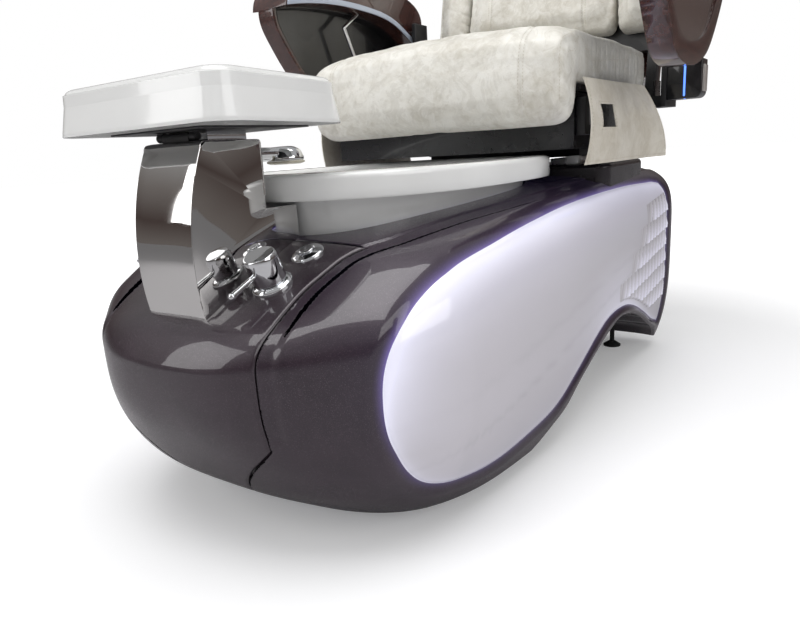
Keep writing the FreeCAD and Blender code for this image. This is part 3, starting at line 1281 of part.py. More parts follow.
def arm_point(pair, x=0.0):
    y = size("arm_front") + (size("arm_rear") - size("arm_front")) * pair[0]
    z = size("arm_bottom") + (size("arm_top") - size("arm_bottom")) * pair[1]
    return V(x, y, z)


def arm_face(offset):
    points = shifted([arm_point(pair) for pair in ARM_SHARES], offset)
    curve = Part.BSplineCurve()
    curve.interpolate(Points=points, PeriodicFlag=True)
    return Part.Face(Part.Wire([curve.toShape()]))


arm_width = size("rail_outer") - size("arm_inner")
arm_skin = size("arm_skin")
liner = size("arm_liner")
gap = size("arm_gap")


def slab(face, start, end):
    return face.extrude(V(end - start, 0, 0)).translated(V(start, 0, 0))


def below_rail(drop):
    """All that lies under the rail's curved lower edge, lowered by drop."""
    points = [arm_point(pair) - V(0, 0, drop) for pair in RAIL_SHARES]
    low = V(0, 0, size("arm_bottom"))
    corners = [points[-1], points[-1] - low, points[0] - low, points[0]]
    lines = [Part.makeLine(one, two) for one, two in zip(corners[:-1], corners[1:])]
    return slab(Part.Face(Part.Wire([spline_edge(points)] + lines)), 0, HUGE)


def arm_tube(radius, start, length):
    return Part.makeCylinder(radius, length, V(start, size("arm_pivot_y"), size("arm_pivot_z")), V(1, 0, 0))


def arm_shell_shape():
    panel_solid = slab(arm_face(0), size("arm_panel"), size("arm_outer"))
    rail = slab(arm_face(0), size("arm_inner"), size("rail_outer")).cut(below_rail(0))
    body = panel_solid.fuse(rail).removeSplitter()
    room = slab(arm_face(-arm_skin), size("arm_panel"), size("arm_outer") - arm_skin)
    recess_room = slab(arm_face(-size("inlay_margin")), size("arm_outer") - size("inlay_depth"), HUGE)
    bore = arm_tube(size("arm_pin") + size("running_gap"), size("arm_inner"), arm_width * 0.6)
    return body.cut([room.common(below_rail(0)), recess_room.common(below_rail(liner)), bore])


def arm_inlay_shape():
    start = size("arm_outer") - size("inlay_depth")
    plate_solid = slab(arm_face(-size("inlay_margin") - gap), start, start + size("inlay_thick"))
    return plate_solid.common(below_rail(liner + gap))


def arm_liner_shape():
    """Black lining of the armrest's inside."""
    start = size("arm_panel")
    end = size("arm_outer") - arm_skin
    outer = slab(arm_face(-arm_skin), start, end).common(below_rail(0))
    inner = slab(arm_face(-arm_skin - liner), start, end - liner).common(below_rail(liner))
    return outer.cut(inner)


def arm_trim_shape():
    """Pale band along the rail's lower edge, on the side that faces the seat."""
    band = slab(arm_face(-arm_skin * 0.3), size("arm_inner") - size("trim_thick"), size("arm_inner"))
    return band.common(below_rail(-size("trim_height"))).cut(below_rail(-gap))


def arm_link_shape():
    """Polished bent stay inside the armrest, from the lining up to the rail."""
    radius = size("link_radius")
    low, bend, high = [arm_point(pair, size("link_x")) for pair in LINK_SHARES]
    depth_in = size("arm_outer") - arm_skin - liner - low.x
    stay = Part.makeCylinder(radius, (bend - low).Length, low, bend - low)
    return stay.multiFuse([Part.makeCylinder(radius, (high - bend).Length, bend, high - bend),
                           Part.makeSphere(radius, bend),
                           Part.makeCylinder(radius, depth_in, low, V(1, 0, 0))]).common(below_rail(0))


def bracket_shape():
    x = size("bracket_x")
    thick = size("bracket_thick")
    low = size("bracket_low")
    plate_solid = Part.makeBox(thick, size("bracket_rear") - size("bracket_front"),
                               size("bracket_high") - low, V(x, size("bracket_front"), low))
    root = size("ear_x") + size("ear_thick")
    start = size("bracket_rear") - 2 * size("trim_height")
    foot = Part.makeBox(x + thick - root, size("pivot_y") - start, 2 * size("trim_height"),
                        V(root, start, low))
    pin = arm_tube(size("arm_pin"), x, size("arm_inner") - x + arm_width / 2)
    return plate_solid.multiFuse([foot, pin])


def side_box_shape():
    """Box under the armrest, with a raised cover on its outer face."""
    x = size("bracket_x") + size("bracket_thick")
    low = size("side_box_low")
    length = size("side_box_rear") - size("side_box_front")
    height = size("side_box_high") - low
    body = Part.makeBox(size("side_box_outer") - x, length, height, V(x, size("side_box_front"), low))
    edges = [e for e in body.Edges if e.BoundBox.ZMax < low + 1 and e.BoundBox.XMin > x + 1
             and e.BoundBox.YLength > 1]
    body = body.makeFillet(size("trim_height"), edges)
    inset = size("trim_height")
    lid = Part.makeBox(size("side_cover"), length - 2 * inset, height - 2 * inset,
                       V(size("side_box_outer") - size("side_cover") / 2, size("side_box_front") + inset,
                         low + inset))
    return body.fuse(lid)


ARM_PIECES = (("arm_shell", arm_shell_shape), ("arm_inlay", arm_inlay_shape), ("arm_liner", arm_liner_shape),
              ("arm_trim", arm_trim_shape), ("arm_link", arm_link_shape), ("arm_bracket", bracket_shape))
for name, maker in ARM_PIECES:
    right = node(feature(name + "_right", maker()), name + "_right")
    node(mirrored(name + "_left", right), name + "_left")
right = feature("side_box_right", side_box_shape())
compound = doc.addObject("Part::Compound", "side_boxes")
compound.Links = [right, mirrored("side_box_left", right)]
node(compound, "side_boxes")

# Check and export

doc.recompute()
faults = []
for item in doc.Objects:
    if "Invalid" in item.State or "Error" in item.State:
        faults.append("%s is %s" % (item.Label, item.State))
for item in nodes:
    if item.Shape.isNull() or not item.Shape.isValid() or not item.Shape.Solids:
        faults.append("%s has no valid solid" % item.Label)
if faults:
    raise SystemExit("\n".join(faults))

os.makedirs("parts", exist_ok=True)
for item in nodes:
    item.Shape.exportStep("parts/%s.step" % item.Label)
whole = Part.makeCompound([item.Shape for item in nodes])
print("nodes", len(nodes), "box", whole.BoundBox)
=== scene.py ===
# %% [markdown]
# # Pedicure spa chair
#
# A salon worker sits in front of this chair and washes the client's feet. A moulded, boat-shaped base
# holds the tub. In front of the tub stands a polished tower with a footrest on it. The upholstered
# chair rides on two tracks behind the tub.
#
# The solids come from a construction model in millimetres. Here they are loaded as a fixed frame, and
# each visible surface is made again with a finer form or is given a better finish.

# %% Load the frame
import math

import bmesh
import bpy
import numpy as np
from mathutils import Matrix, Vector
from mathutils.bvhtree import BVHTree


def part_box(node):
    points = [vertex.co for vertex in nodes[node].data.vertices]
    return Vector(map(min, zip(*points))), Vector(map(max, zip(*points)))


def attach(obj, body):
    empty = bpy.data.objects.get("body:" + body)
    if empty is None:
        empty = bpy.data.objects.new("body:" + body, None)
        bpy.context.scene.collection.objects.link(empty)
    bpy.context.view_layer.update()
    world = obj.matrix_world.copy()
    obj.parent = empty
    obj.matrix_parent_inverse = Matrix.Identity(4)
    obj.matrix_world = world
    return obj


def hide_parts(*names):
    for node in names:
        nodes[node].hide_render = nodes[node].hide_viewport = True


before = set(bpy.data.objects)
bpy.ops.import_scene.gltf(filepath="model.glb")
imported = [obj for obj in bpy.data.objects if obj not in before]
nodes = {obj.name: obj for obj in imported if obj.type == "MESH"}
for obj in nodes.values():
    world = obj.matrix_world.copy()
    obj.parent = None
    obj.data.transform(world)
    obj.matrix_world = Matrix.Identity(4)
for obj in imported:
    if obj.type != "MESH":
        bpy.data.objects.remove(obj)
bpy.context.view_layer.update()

# %% [markdown]
# ## Camera
#
# The picture was taken from the front right, a little above the tub. The lens and the place of the
# camera were worked out from the outline of the base, and are written here as plain numbers.

# %% Camera
TURN, PITCH, ROLL = (math.radians(v) for v in (35.668, 14.208, 3.452))


def camera_axes():
    """Right, up and forward of the camera, from its turn, pitch and roll."""
    forward = Vector((-math.sin(TURN) * math.cos(PITCH), math.cos(TURN) * math.cos(PITCH), -math.sin(PITCH)))
    level = Vector((math.cos(TURN), math.sin(TURN), 0))
    upright = level.cross(forward)
    right = level * math.cos(ROLL) - upright * math.sin(ROLL)
    up = level * math.sin(ROLL) + upright * math.cos(ROLL)
    return right, up, forward


right, up, forward = camera_axes()
lens = bpy.data.cameras.new("camera")
lens.lens = 29.69
lens.sensor_width = 36
camera = bpy.data.objects.new("camera", lens)
camera.matrix_world = Matrix((
    (right.x, up.x, -forward.x, 0.744),
    (right.y, up.y, -forward.y, -1.222),
    (right.z, up.z, -forward.z, 0.536),
    (0, 0, 0, 1)))
bpy.context.scene.collection.objects.link(camera)
bpy.context.scene.camera = camera
bpy.context.scene.view_settings.view_transform = "Standard"

# %% [markdown]
# ## Sums on sockets
#
# A finish is a small program of nodes. Wiring each Math node by hand hides the idea, so a tiny class
# wraps a socket and turns `1 - mask * 0.3` into the nodes that work it out. Everything else comes from
# one method, `add`, that takes a node's type, its settings and its sockets. The world uses it too.


# %% A socket that can be used in sums
class Wire:
    """One output of a tree's nodes, used like a number."""

    def __init__(self, owner, socket):
        self.owner = owner
        self.socket = socket

    def maths(self, operation, *values):
        return self.owner.add("ShaderNodeMath", {"operation": operation}, dict(enumerate(values)))

    def __add__(self, other):
        return self.maths("ADD", self, other)

    def __sub__(self, other):
        return self.maths("SUBTRACT", self, other)

    def __rsub__(self, other):
        return self.maths("SUBTRACT", other, self)

    def __mul__(self, other):
        return self.maths("MULTIPLY", self, other)

    def __pow__(self, other):
        return self.maths("POWER", self, other)

    def between(self, low, high, start=0.0, end=1.0):
        """Reads the value on the span from low to high as start to end, held at both ends."""
        return self.owner.add("ShaderNodeMapRange", {"clamp": True},
                               {"Value": self, "From Min": low, "From Max": high,
                                "To Min": start, "To Max": end})

    __radd__ = __add__
    __rmul__ = __mul__


# %% A tree of nodes, and a finish
class Nodes:
    """A tree of shader nodes and a way to add to it."""

    def __init__(self, tree):
        self.tree = tree

    def wire(self, socket, value):
        if isinstance(value, Wire):
            self.tree.links.new(value.socket, socket)
        elif socket.type == "RGBA" and len(value) == 3:
            socket.default_value = (*value, 1)
        else:
            socket.default_value = value

    def add(self, kind, settings=None, sockets=None, output=0):
        node = self.tree.nodes.new(kind)
        for name, value in (settings or {}).items():
            if name == "stops":
                set_stops(node.color_ramp, value)
            else:
                setattr(node, name, value)
        for name, value in (sockets or {}).items():
            self.wire(node.inputs[name], value)
        return Wire(self, node.outputs[output])

    def mix(self, share, one, other):
        """A colour between two."""
        node = self.tree.nodes.new("ShaderNodeMix")
        node.data_type = "RGBA"
        colour_sockets = [s for s in node.inputs if s.type == "RGBA"]
        self.wire(node.inputs["Factor"], share)
        self.wire(colour_sockets[0], one)
        self.wire(colour_sockets[1], other)
        return Wire(self, next(s for s in node.outputs if s.type == "RGBA"))


class Finish(Nodes):
    """A material: its shader, and what most surfaces need."""

    def __init__(self, name, **values):
        self.material = bpy.data.materials.new(name)
        self.material.use_nodes = True
        super().__init__(self.material.node_tree)
        self.shader = self.tree.nodes["Principled BSDF"]
        self.set(**values)

    def set(self, **values):
        for name, value in values.items():
            self.wire(self.shader.inputs[name.replace("_", " ")], value)

    def place(self, scale=(1, 1, 1)):
        """Where a point lies on the piece, in metres, stretched by scale."""
        spot = self.add("ShaderNodeTexCoord", output="Object")
        return self.add("ShaderNodeMapping", None, {"Vector": spot, "Scale": scale})

    def noise(self, size, detail=3.0, rough=0.55, scale=(1, 1, 1), bend=0.0):
        """Cloudy values of about 0 to 1, with lumps of that size in metres."""
        return self.add("ShaderNodeTexNoise", None,
                        {"Vector": self.place(scale), "Scale": 1 / size, "Detail": detail,
                         "Roughness": rough, "Distortion": bend})

    def bump(self, height, depth, strength=1.0, under=None):
        """A relief that stands depth metres high where the height is 1."""
        sockets = {"Height": height, "Distance": depth, "Strength": strength}
        if under is not None:
            sockets["Normal"] = under
        return self.add("ShaderNodeBump", None, sockets)


def set_stops(ramp, stops):
    while len(ramp.elements) > 1:
        ramp.elements.remove(ramp.elements[0])
    ramp.elements[0].position, ramp.elements[0].color = stops[0][0], (*stops[0][1], 1)
    for place, colour in stops[1:]:
        ramp.elements.new(place).color = (*colour, 1)


# %% [markdown]
# ## Floor, background and light
#
# The picture has a white ground that fades into a white background. The floor stays a plain pale
# surface that takes a shadow, and what the camera and clear pieces see beyond it is white. Polished
# surfaces see a darker band low down instead, as they would in a room. Three large soft lamps light the
# object, and their size gives wide soft reflections.


# %% Floor and background
def floor_finish():
    """Pale floor. The camera sees it lifted to white, fully so away from the object."""
    paint = Finish("floor_white", Roughness=0.9)
    mirrored = paint.add("ShaderNodeLightPath", output="Is Glossy Ray")
    paint.set(Base_Color=paint.mix(mirrored, (0.86, 0.86, 0.87), (0.42, 0.41, 0.42)))
    spot = paint.add("ShaderNodeTexCoord", output="Object")
    away = paint.add("ShaderNodeVectorMath", {"operation": "LENGTH"}, {0: spot}, "Value")
    seen = paint.add("ShaderNodeLightPath", output="Is Camera Ray")
    lift = away.between(1.0, 2.6, 0.2, 1.0) * seen
    paint.set(Emission_Color=paint.mix(lift, (0, 0, 0), (1, 1, 1)), Emission_Strength=1.0)
    return paint.material


ROOM_LIGHT = 0.42
ROOM_TONES = [(0.0, (0.34, 0.30, 0.28)), (0.12, (0.16, 0.12, 0.11)), (0.3, (0.42, 0.38, 0.36)),
              (0.55, (0.9, 0.9, 0.9)), (1.0, (1.0, 1.0, 1.0))]


def plain_world():
    """White for the camera, plainer light for the rest, and a darker band low down for reflections."""
    world = bpy.data.worlds.new("studio")
    world.use_nodes = True
    sky = Nodes(world.node_tree)
    camera_ray, clear_ray, glossy_ray = (sky.add("ShaderNodeLightPath", output="Is " + kind + " Ray")
                                         for kind in ("Camera", "Transmission", "Glossy"))
    seen = camera_ray.maths("MAXIMUM", camera_ray, clear_ray)
    way = sky.add("ShaderNodeTexCoord", output="Generated")
    height = sky.add("ShaderNodeSeparateXYZ", None, {0: way}, "Z")
    room = sky.add("ShaderNodeValToRGB", {"stops": ROOM_TONES}, {0: height}, "Color")
    back = sky.tree.nodes["Background"]
    sky.wire(back.inputs["Strength"], seen.between(0.0, 1.0, ROOM_LIGHT, 1.0))
    sky.wire(back.inputs["Color"], sky.mix(glossy_ray, (1, 1, 1), room))
    bpy.context.scene.world = world


plain_world()
bpy.ops.mesh.primitive_plane_add(size=60, location=(0, 0, 0))
floor = bpy.context.object
floor.name = "floor"
floor.data.materials.append(floor_finish())


# %% Lamps
def soft_lamp(name, place, target, width, height, power):
    data = bpy.data.lights.new(name, "AREA")
    data.shape = "RECTANGLE"
    data.size, data.size_y = width, height
    data.energy = power
    lamp = bpy.data.objects.new(name, data)
    lamp.location = place
    aim = Vector(target) - Vector(place)
    lamp.rotation_euler = aim.to_track_quat("-Z", "Y").to_euler()
    bpy.context.scene.collection.objects.link(lamp)


soft_lamp("lamp_top", (0.2, -0.6, 3.4), (0, -0.1, 0.4), 3.4, 2.4, 80)
soft_lamp("lamp_front", (-1.8, -3.0, 1.9), (0, -0.2, 0.4), 2.0, 2.2, 34)
soft_lamp("lamp_side", (3.2, -0.6, 1.8), (0, 0.1, 0.5), 2.4, 1.8, 26)

# %% [markdown]
# ## Finishes
#
# Each finish copies one surface of the real chair. The base is lacquered in a dark plum with fine metal
# flakes under a clear coat. The side panels are white and lit from behind, and their leaf facets carry
# painted shade and highlight. The upholstery is cream artificial leather with a marbled print, and the
# armrests are glossy brown mouldings.


# %% Plum lacquer
def plum_lacquer(name, glows=False):
    """Dark plum with two sizes of flake, and a violet sheen where a light panel shines on it."""
    paint = Finish(name, Metallic=0.25, Coat_Weight=0.8, Coat_Roughness=0.03, Coat_IOR=1.55)
    fine = paint.add("ShaderNodeTexVoronoi", None, {"Vector": paint.place(), "Scale": 1500.0}, "Color")
    spark = paint.add("ShaderNodeSeparateColor", None, {"Color": fine})
    flake = spark.between(0.86, 1.0)
    cloud = paint.noise(0.05, 2.0)
    base = paint.mix(cloud.between(0.3, 0.7), (0.021, 0.011, 0.019), (0.030, 0.017, 0.027))
    colour = paint.mix(flake * 0.18, base, (0.42, 0.34, 0.40))
    paint.set(Base_Color=colour, Roughness=flake.between(0, 1, 0.42, 0.2))
    if glows:
        light = paint.add("ShaderNodeAttribute", {"attribute_name": "glow"}, output="Fac")
        paint.set(Emission_Color=paint.mix(light, (0, 0, 0), (0.22, 0.17, 0.50)), Emission_Strength=1.0)
    return paint.material


plum_shell = plum_lacquer("plum_lacquer_lit", glows=True)
plum_plain = plum_lacquer("plum_lacquer")


# %% Lit panel
def lit_panel():
    """White translucent sheet: brightest and bluest near the strips behind its edge, with painted facet
    shade.
    """
    paint = Finish("lit_panel", Roughness=0.12, Coat_Weight=0.6, Coat_Roughness=0.04)
    light = paint.add("ShaderNodeAttribute", {"attribute_name": "glow"}, output="Fac")
    paint.set(Base_Color=paint.mix(light, (0.52, 0.50, 0.53), (0.66, 0.65, 0.72)),
              Emission_Color=paint.mix(light, (0.020, 0.018, 0.028), (0.36, 0.36, 0.47)),
              Emission_Strength=0.8)
    return paint.material


# %% Plastics
def gloss(name, colour, rough=0.12, coat=0.5, ripple=0.00012):
    """Glossy moulding: a faint waviness keeps its reflections from looking computed."""
    paint = Finish(name, Coat_Weight=coat, Coat_Roughness=0.03)
    tone = paint.noise(0.12, 2.0)
    darker = tuple(v * 0.94 for v in colour)
    smear = paint.noise(0.03, 3.0)
    paint.set(Base_Color=paint.mix(tone.between(0.3, 0.7), darker, colour),
              Roughness=smear.between(0.3, 0.7, rough * 0.8, rough * 1.3),
              Normal=paint.bump(paint.noise(0.06, 1.0), ripple))
    return paint.material


def matte(name, colour, rough=0.55, grain=0.0012, depth=0.00006):
    """Moulded plastic or powder coat with a fine even grain."""
    paint = Finish(name)
    tone = paint.noise(0.05, 2.0)
    lighter = tuple(min(1, v * 1.25 + 0.004) for v in colour)
    paint.set(Base_Color=paint.mix(tone.between(0.35, 0.75), colour, lighter),
              Roughness=tone.between(0.2, 0.8, rough * 0.85, rough * 1.15),
              Normal=paint.bump(paint.noise(grain, 2.0), depth))
    return paint.material


panel_light = lit_panel()
step_satin = gloss("step_lacquer", (0.020, 0.016, 0.020), 0.22)
white_gloss = gloss("white_gel_coat", (0.80, 0.80, 0.79))
black_gloss = gloss("black_gloss", (0.012, 0.012, 0.013), 0.2)
black_satin = matte("black_satin", (0.014, 0.014, 0.015), 0.42)
black_metal = matte("black_powder_coat", (0.012, 0.012, 0.013), 0.4, 0.0008)
cream_plastic = gloss("cream_plastic", (0.68, 0.63, 0.50), 0.25)
grey_plastic = matte("grey_plastic", (0.30, 0.30, 0.31), 0.45)
apron_black = gloss("apron_black", (0.006, 0.006, 0.008), 0.25, 0.3)
box_cover = gloss("box_cover", (0.36, 0.33, 0.31), 0.2)
brown_pale = gloss("brown_pale", (0.105, 0.075, 0.066), 0.15, 0.9)
light_line = Finish("light_line", Base_Color=(0.1, 0.2, 0.6), Emission_Color=(0.10, 0.25, 1.0),
                    Emission_Strength=1.6).material
led_paint = Finish("led_strip", Base_Color=(0.55, 0.5, 0.7), Roughness=0.4).material
rubber = matte("rubber", (0.016, 0.016, 0.016), 0.8)


# %% Brown gloss of the armrests
def brown_gloss():
    """Brown lacquer with a fine wood-like streak along its length."""
    paint = Finish("brown_gloss", Coat_Weight=1.0, Coat_Roughness=0.02, Roughness=0.25)
    streak = paint.noise(0.008, 4.0, scale=(1.0, 0.12, 1.0), bend=0.4)
    paint.set(Base_Color=paint.mix(streak.between(0.35, 0.7), (0.028, 0.010, 0.009), (0.075, 0.028, 0.022)))
    return paint.material


brown = brown_gloss()
pale_trim = gloss("pale_trim", (0.42, 0.47, 0.56), 0.18)


# %% Metals
def metal(name, colour, rough, wave=0.00004, size=0.03):
    """Polished metal: hardly any grain, with a slow waviness from rolling or polishing."""
    paint = Finish(name, Metallic=1.0)
    smear = paint.noise(0.02, 4.0)
    paint.set(Base_Color=paint.mix(paint.noise(0.2, 1.0), tuple(v * 0.96 for v in colour), colour),
              Roughness=smear.between(0.35, 0.75, rough * 0.7, rough * 1.6),
              Normal=paint.bump(paint.noise(size, 1.0), wave))
    return paint.material


chrome = metal("chrome", (0.82, 0.83, 0.85), 0.045)
mirror_steel = metal("mirror_steel", (0.74, 0.73, 0.72), 0.035, 0.0004, 0.09)
zinc_steel = metal("zinc_steel", (0.55, 0.55, 0.56), 0.28)


# %% Cream leather
def cream_leather(name, warm=0.0):
    """Cream artificial leather: a marbled print in three sizes over a fine pebble grain."""
    paint = Finish(name, Coat_Weight=0.12, Coat_Roughness=0.3, Sheen_Weight=0.08)
    large = paint.noise(0.11, 5.0, 0.62, bend=0.7).between(0.38, 0.62)
    small = paint.noise(0.022, 5.0, 0.65, bend=1.1).between(0.36, 0.66)
    veins = paint.noise(0.05, 6.0, 0.7, bend=2.0).between(0.44, 0.50)
    tone = paint.mix(large, (0.53, 0.50, 0.43), (0.74, 0.72, 0.66))
    tone = paint.mix(small * 0.6, tone, (0.80, 0.79, 0.75))
    tone = paint.mix((1 - veins) * 0.22, tone, (0.42, 0.39, 0.33))
    tone = paint.mix(warm, tone, (0.50, 0.42, 0.30))
    pebble = paint.add("ShaderNodeTexVoronoi", {"feature": "SMOOTH_F1"},
                       {"Vector": paint.place(), "Scale": 650.0}, "Distance")
    crease = paint.noise(0.012, 4.0, bend=0.6)
    grain = paint.bump(pebble, 0.00012)
    grain = paint.bump(crease, 0.0007, under=grain)
    paint.set(Base_Color=tone, Roughness=small.between(0, 1, 0.42, 0.56), Normal=grain)
    return paint.material


leather = cream_leather("cream_leather")
flap_leather = cream_leather("cream_leather_warm", 0.35)
thread = matte("seam_thread", (0.47, 0.43, 0.36), 0.7, 0.0006)

# %% [markdown]
# ## Making a piece
#
# Every piece is a mesh whose points are already in their final place. One helper makes the object, gives
# it its finish, hides the plainer solid that it stands for and lets it move with its body. Curved
# pieces are smooth, and edges sharper than a set angle stay crisp.


# %% Make a piece
def placed(mesh):
    """A new object for a mesh, in the scene and under the mesh's name."""
    thing = bpy.data.objects.new(mesh.name, mesh)
    bpy.context.scene.collection.objects.link(thing)
    return thing


def plain_mesh(name, points, faces, paint):
    mesh = bpy.data.meshes.new(name)
    mesh.from_pydata([tuple(map(float, p)) for p in points], [], [tuple(map(int, f)) for f in faces])
    mesh.materials.append(paint)
    return mesh


def all_smooth(mesh):
    mesh.polygons.foreach_set("use_smooth", [True] * len(mesh.polygons))


def piece(name, points, faces, paint, body, stands_for=(), crisp=None, normals=None, fields=None):
    mesh = plain_mesh(name, points, faces, paint)
    all_smooth(mesh)
    for label, values in (fields or {}).items():
        field = mesh.attributes.new(label, "FLOAT", "POINT")
        field.data.foreach_set("value", np.asarray(values, np.float32))
    if crisp is not None:
        mesh.set_sharp_from_angle(angle=math.radians(crisp))
    if normals is not None:
        mesh.normals_split_custom_set_from_vertices([tuple(n) for n in normals])
    return settle(placed(mesh), body, stands_for)


def settle(thing, body, stands_for=()):
    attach(thing, body)
    if stands_for:
        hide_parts(*stands_for)
    return thing


def applied(thing):
    """The object's evaluated mesh in place of its modifiers."""
    mesh = bpy.data.meshes.new_from_object(thing.evaluated_get(bpy.context.evaluated_depsgraph_get()))
    thing.modifiers.clear()
    thing.data = mesh


def outward(mesh):
    """Turns all faces of a closed mesh to the outside."""
    work = bmesh.new()
    work.from_mesh(mesh)
    bmesh.ops.remove_doubles(work, verts=work.verts, dist=1e-6)
    bmesh.ops.recalc_face_normals(work, faces=work.faces)
    work.to_mesh(mesh)
    work.free()


def closed(thing, crisp):
    """Turns a closed piece's faces outward and keeps edges crisp that are sharper than an angle."""
    outward(thing.data)
    thing.data.set_sharp_from_angle(angle=math.radians(crisp))
    return thing


def rings_to_mesh(rings, closed_ring=True, cap_start=False, cap_end=False):
    """Points and faces of a skin through rings that all have the same number of points."""
    count = len(rings[0])
    points = [p for ring in rings for p in ring]
    faces = []
    span = count if closed_ring else count - 1
    for k in range(len(rings) - 1):
        for j in range(span):
            a, b = k * count + j, k * count + (j + 1) % count
            faces.append((a, b, b + count, a + count))
    if cap_start:
        faces.append(tuple(reversed(range(count))))
    if cap_end:
        faces.append(tuple(range((len(rings) - 1) * count, len(rings) * count)))
    return points, faces


def capped(name, rings, paint, body, stands_for=(), crisp=50):
    """A closed piece through rings, with a face over each end."""
    points, faces = rings_to_mesh(rings, cap_start=True, cap_end=True)
    return closed(piece(name, points, faces, paint, body, stands_for), crisp)


def around(count):
    """Angles of a full turn."""
    return np.linspace(0, 2 * math.pi, count + 1)[:-1]


def quarter(start, count=7):
    """Angles from start to a right angle."""
    return np.linspace(start, math.pi / 2, count)


# %% A turned piece
def turned(name, profile, where, paint, body, stands_for=(), steps=64, crisp=30):
    """Turns a profile of (radius, height) pairs round the local Z axis of the matrix where."""
    rings = []
    for radius, height in profile:
        rings.append([where @ Vector((radius * math.cos(2 * math.pi * k / steps),
                                      radius * math.sin(2 * math.pi * k / steps), height))
                      for k in range(steps)])
    points, faces = rings_to_mesh(rings)
    return closed(piece(name, points, faces, paint, body, stands_for), crisp)


def rounded(corners, radius, steps=5):
    """Replaces each inner corner of an open profile by a small arc."""
    out = [Vector(corners[0])]
    for before, here, after in zip(corners[:-2], corners[1:-1], corners[2:]):
        here = Vector(here)
        back, on = Vector(before) - here, Vector(after) - here
        reach = min(radius, back.length * 0.45, on.length * 0.45)
        start, end = here + back.normalized() * reach, here + on.normalized() * reach
        for k in range(steps + 1):
            t = k / steps
            out.append(start * (1 - t) ** 2 + here * 2 * t * (1 - t) + end * t ** 2)
    return [tuple(p) for p in out + [Vector(corners[-1])]]


MM = 0.001


def lathed(name, profile, soften, steps, where, paint, body, stands_for=()):
    """A turned piece from a profile in millimetres, whose corners are rounded by soften millimetres."""
    metres = [(radius * MM, height * MM) for radius, height in profile]
    return turned(name, rounded(metres, soften * MM, steps), where, paint, body, stands_for)


# %% [markdown]
# ## The boat-shaped base
#
# The base is one moulding with a shoulder groove, recessed side panels, an arch and a nose cover.
# Cutting these into a mesh leaves ragged shading on such a glossy surface. So the hull is written as a
# rule: a length share and an angle give a point. The groove and the recess are a depth under that
# surface, and the normals come from the rule as well. The mesh only has to be fine where the rule
# bends, and its reflections stay smooth.

# %% Rule of the hull
LENGTH, NOSE, HALF, WAIST, CROWN, BELLY, LOWEST = 1.322, -0.742, 0.347, 0.279, 0.199, 0.400, 0.025
STATIONS = [0.0, 0.003, 0.02, 0.055, 0.11, 0.19, 0.30, 0.42, 0.60, 0.80, 0.97, 1.0]
WIDTHS = [0.0, 0.24, 0.455, 0.655, 0.878, 0.985, 1.0, 1.0, 0.99, 0.985, 0.98, 0.94]
CROWNS = [0.0, 0.07, 0.245, 0.37, 0.54, 0.745, 0.85, 0.89, 0.935, 0.968, 1.0, 0.965]
BELLIES = [0.0, 0.145, 0.29, 0.465, 0.60, 0.755, 0.89, 0.96, 0.98, 1.0, 1.0, 1.0]
POWERS = [2.7, 2.75, 2.86, 3.0, 3.15, 3.55, 3.9, 4.1, 4.5, 5.0, 5.0, 5.0]


def smooth_table(places, values):
    """A curve through a table that doesn't overshoot, as a function of an array."""
    x, y = np.asarray(places, float), np.asarray(values, float)
    step, rise = np.diff(x), np.diff(y) / np.diff(x)
    slope = np.zeros_like(y)
    same = rise[:-1] * rise[1:] > 0
    w1, w2 = 2 * step[1:] + step[:-1], step[1:] + 2 * step[:-1]
    slope[1:-1][same] = (w1 + w2)[same] / (w1[same] / rise[:-1][same] + w2[same] / rise[1:][same])
    slope[0], slope[-1] = rise[0], rise[-1]

    def read(at):
        at = np.clip(np.asarray(at, float), x[0], x[-1])
        k = np.clip(np.searchsorted(x, at) - 1, 0, len(x) - 2)
        h = step[k]
        t = (at - x[k]) / h
        return (y[k] * (1 + 2 * t) * (1 - t) ** 2 + h * slope[k] * t * (1 - t) ** 2
                + y[k + 1] * t * t * (3 - 2 * t) + h * slope[k + 1] * t * t * (t - 1))

    return read


roots = np.sqrt(STATIONS)
width_at, crown_at, belly_at, power_at = (smooth_table(roots, v) for v in (WIDTHS, CROWNS, BELLIES, POWERS))


def hull_point(along, angle):
    """Points of the right half. along runs from 0 at the nose to 1, angle from -90 to 90 degrees."""
    above = angle > 0
    power = np.where(above, power_at(along), 3.0)
    reach = np.where(above, CROWN * crown_at(along), BELLY * belly_at(along))
    c, s = np.cos(angle), np.sin(angle)
    x = HALF * width_at(along) * np.sign(c) * np.abs(c) ** (2 / power)
    z = WAIST + reach * np.sign(s) * np.abs(s) ** (2 / power)
    return np.stack([x, NOSE + LENGTH * along ** 2, z], -1)


def slopes(rule, along, angle, step=4e-4):
    """Unit normals of any rule by small steps on the surface."""
    low, high = np.clip(along - step, 0.004, 1), np.clip(along + step, 0.004, 1)
    du = rule(high, angle) - rule(low, angle)
    dv = rule(along, angle + step) - rule(along, angle - step)
    normal = np.cross(du, dv)
    length = np.linalg.norm(normal, axis=-1, keepdims=True)
    normal = normal / np.maximum(length, 1e-12)
    inward = (normal[..., 0] < 0) & (np.cos(angle) > 0.02)
    return np.where(inward[..., None], -normal, normal)


print("hull at mid length", hull_point(np.array([0.7]), np.array([0.0])).round(4).tolist())

# %% [markdown]
# The groove is a line seen from above, the panel and the arch are outlines seen from the side, and the
# nose cover ends on a line seen from the front. Each is turned into a distance: how far is a point
# from the line, and on which side? A depth or a cut is then one short formula.


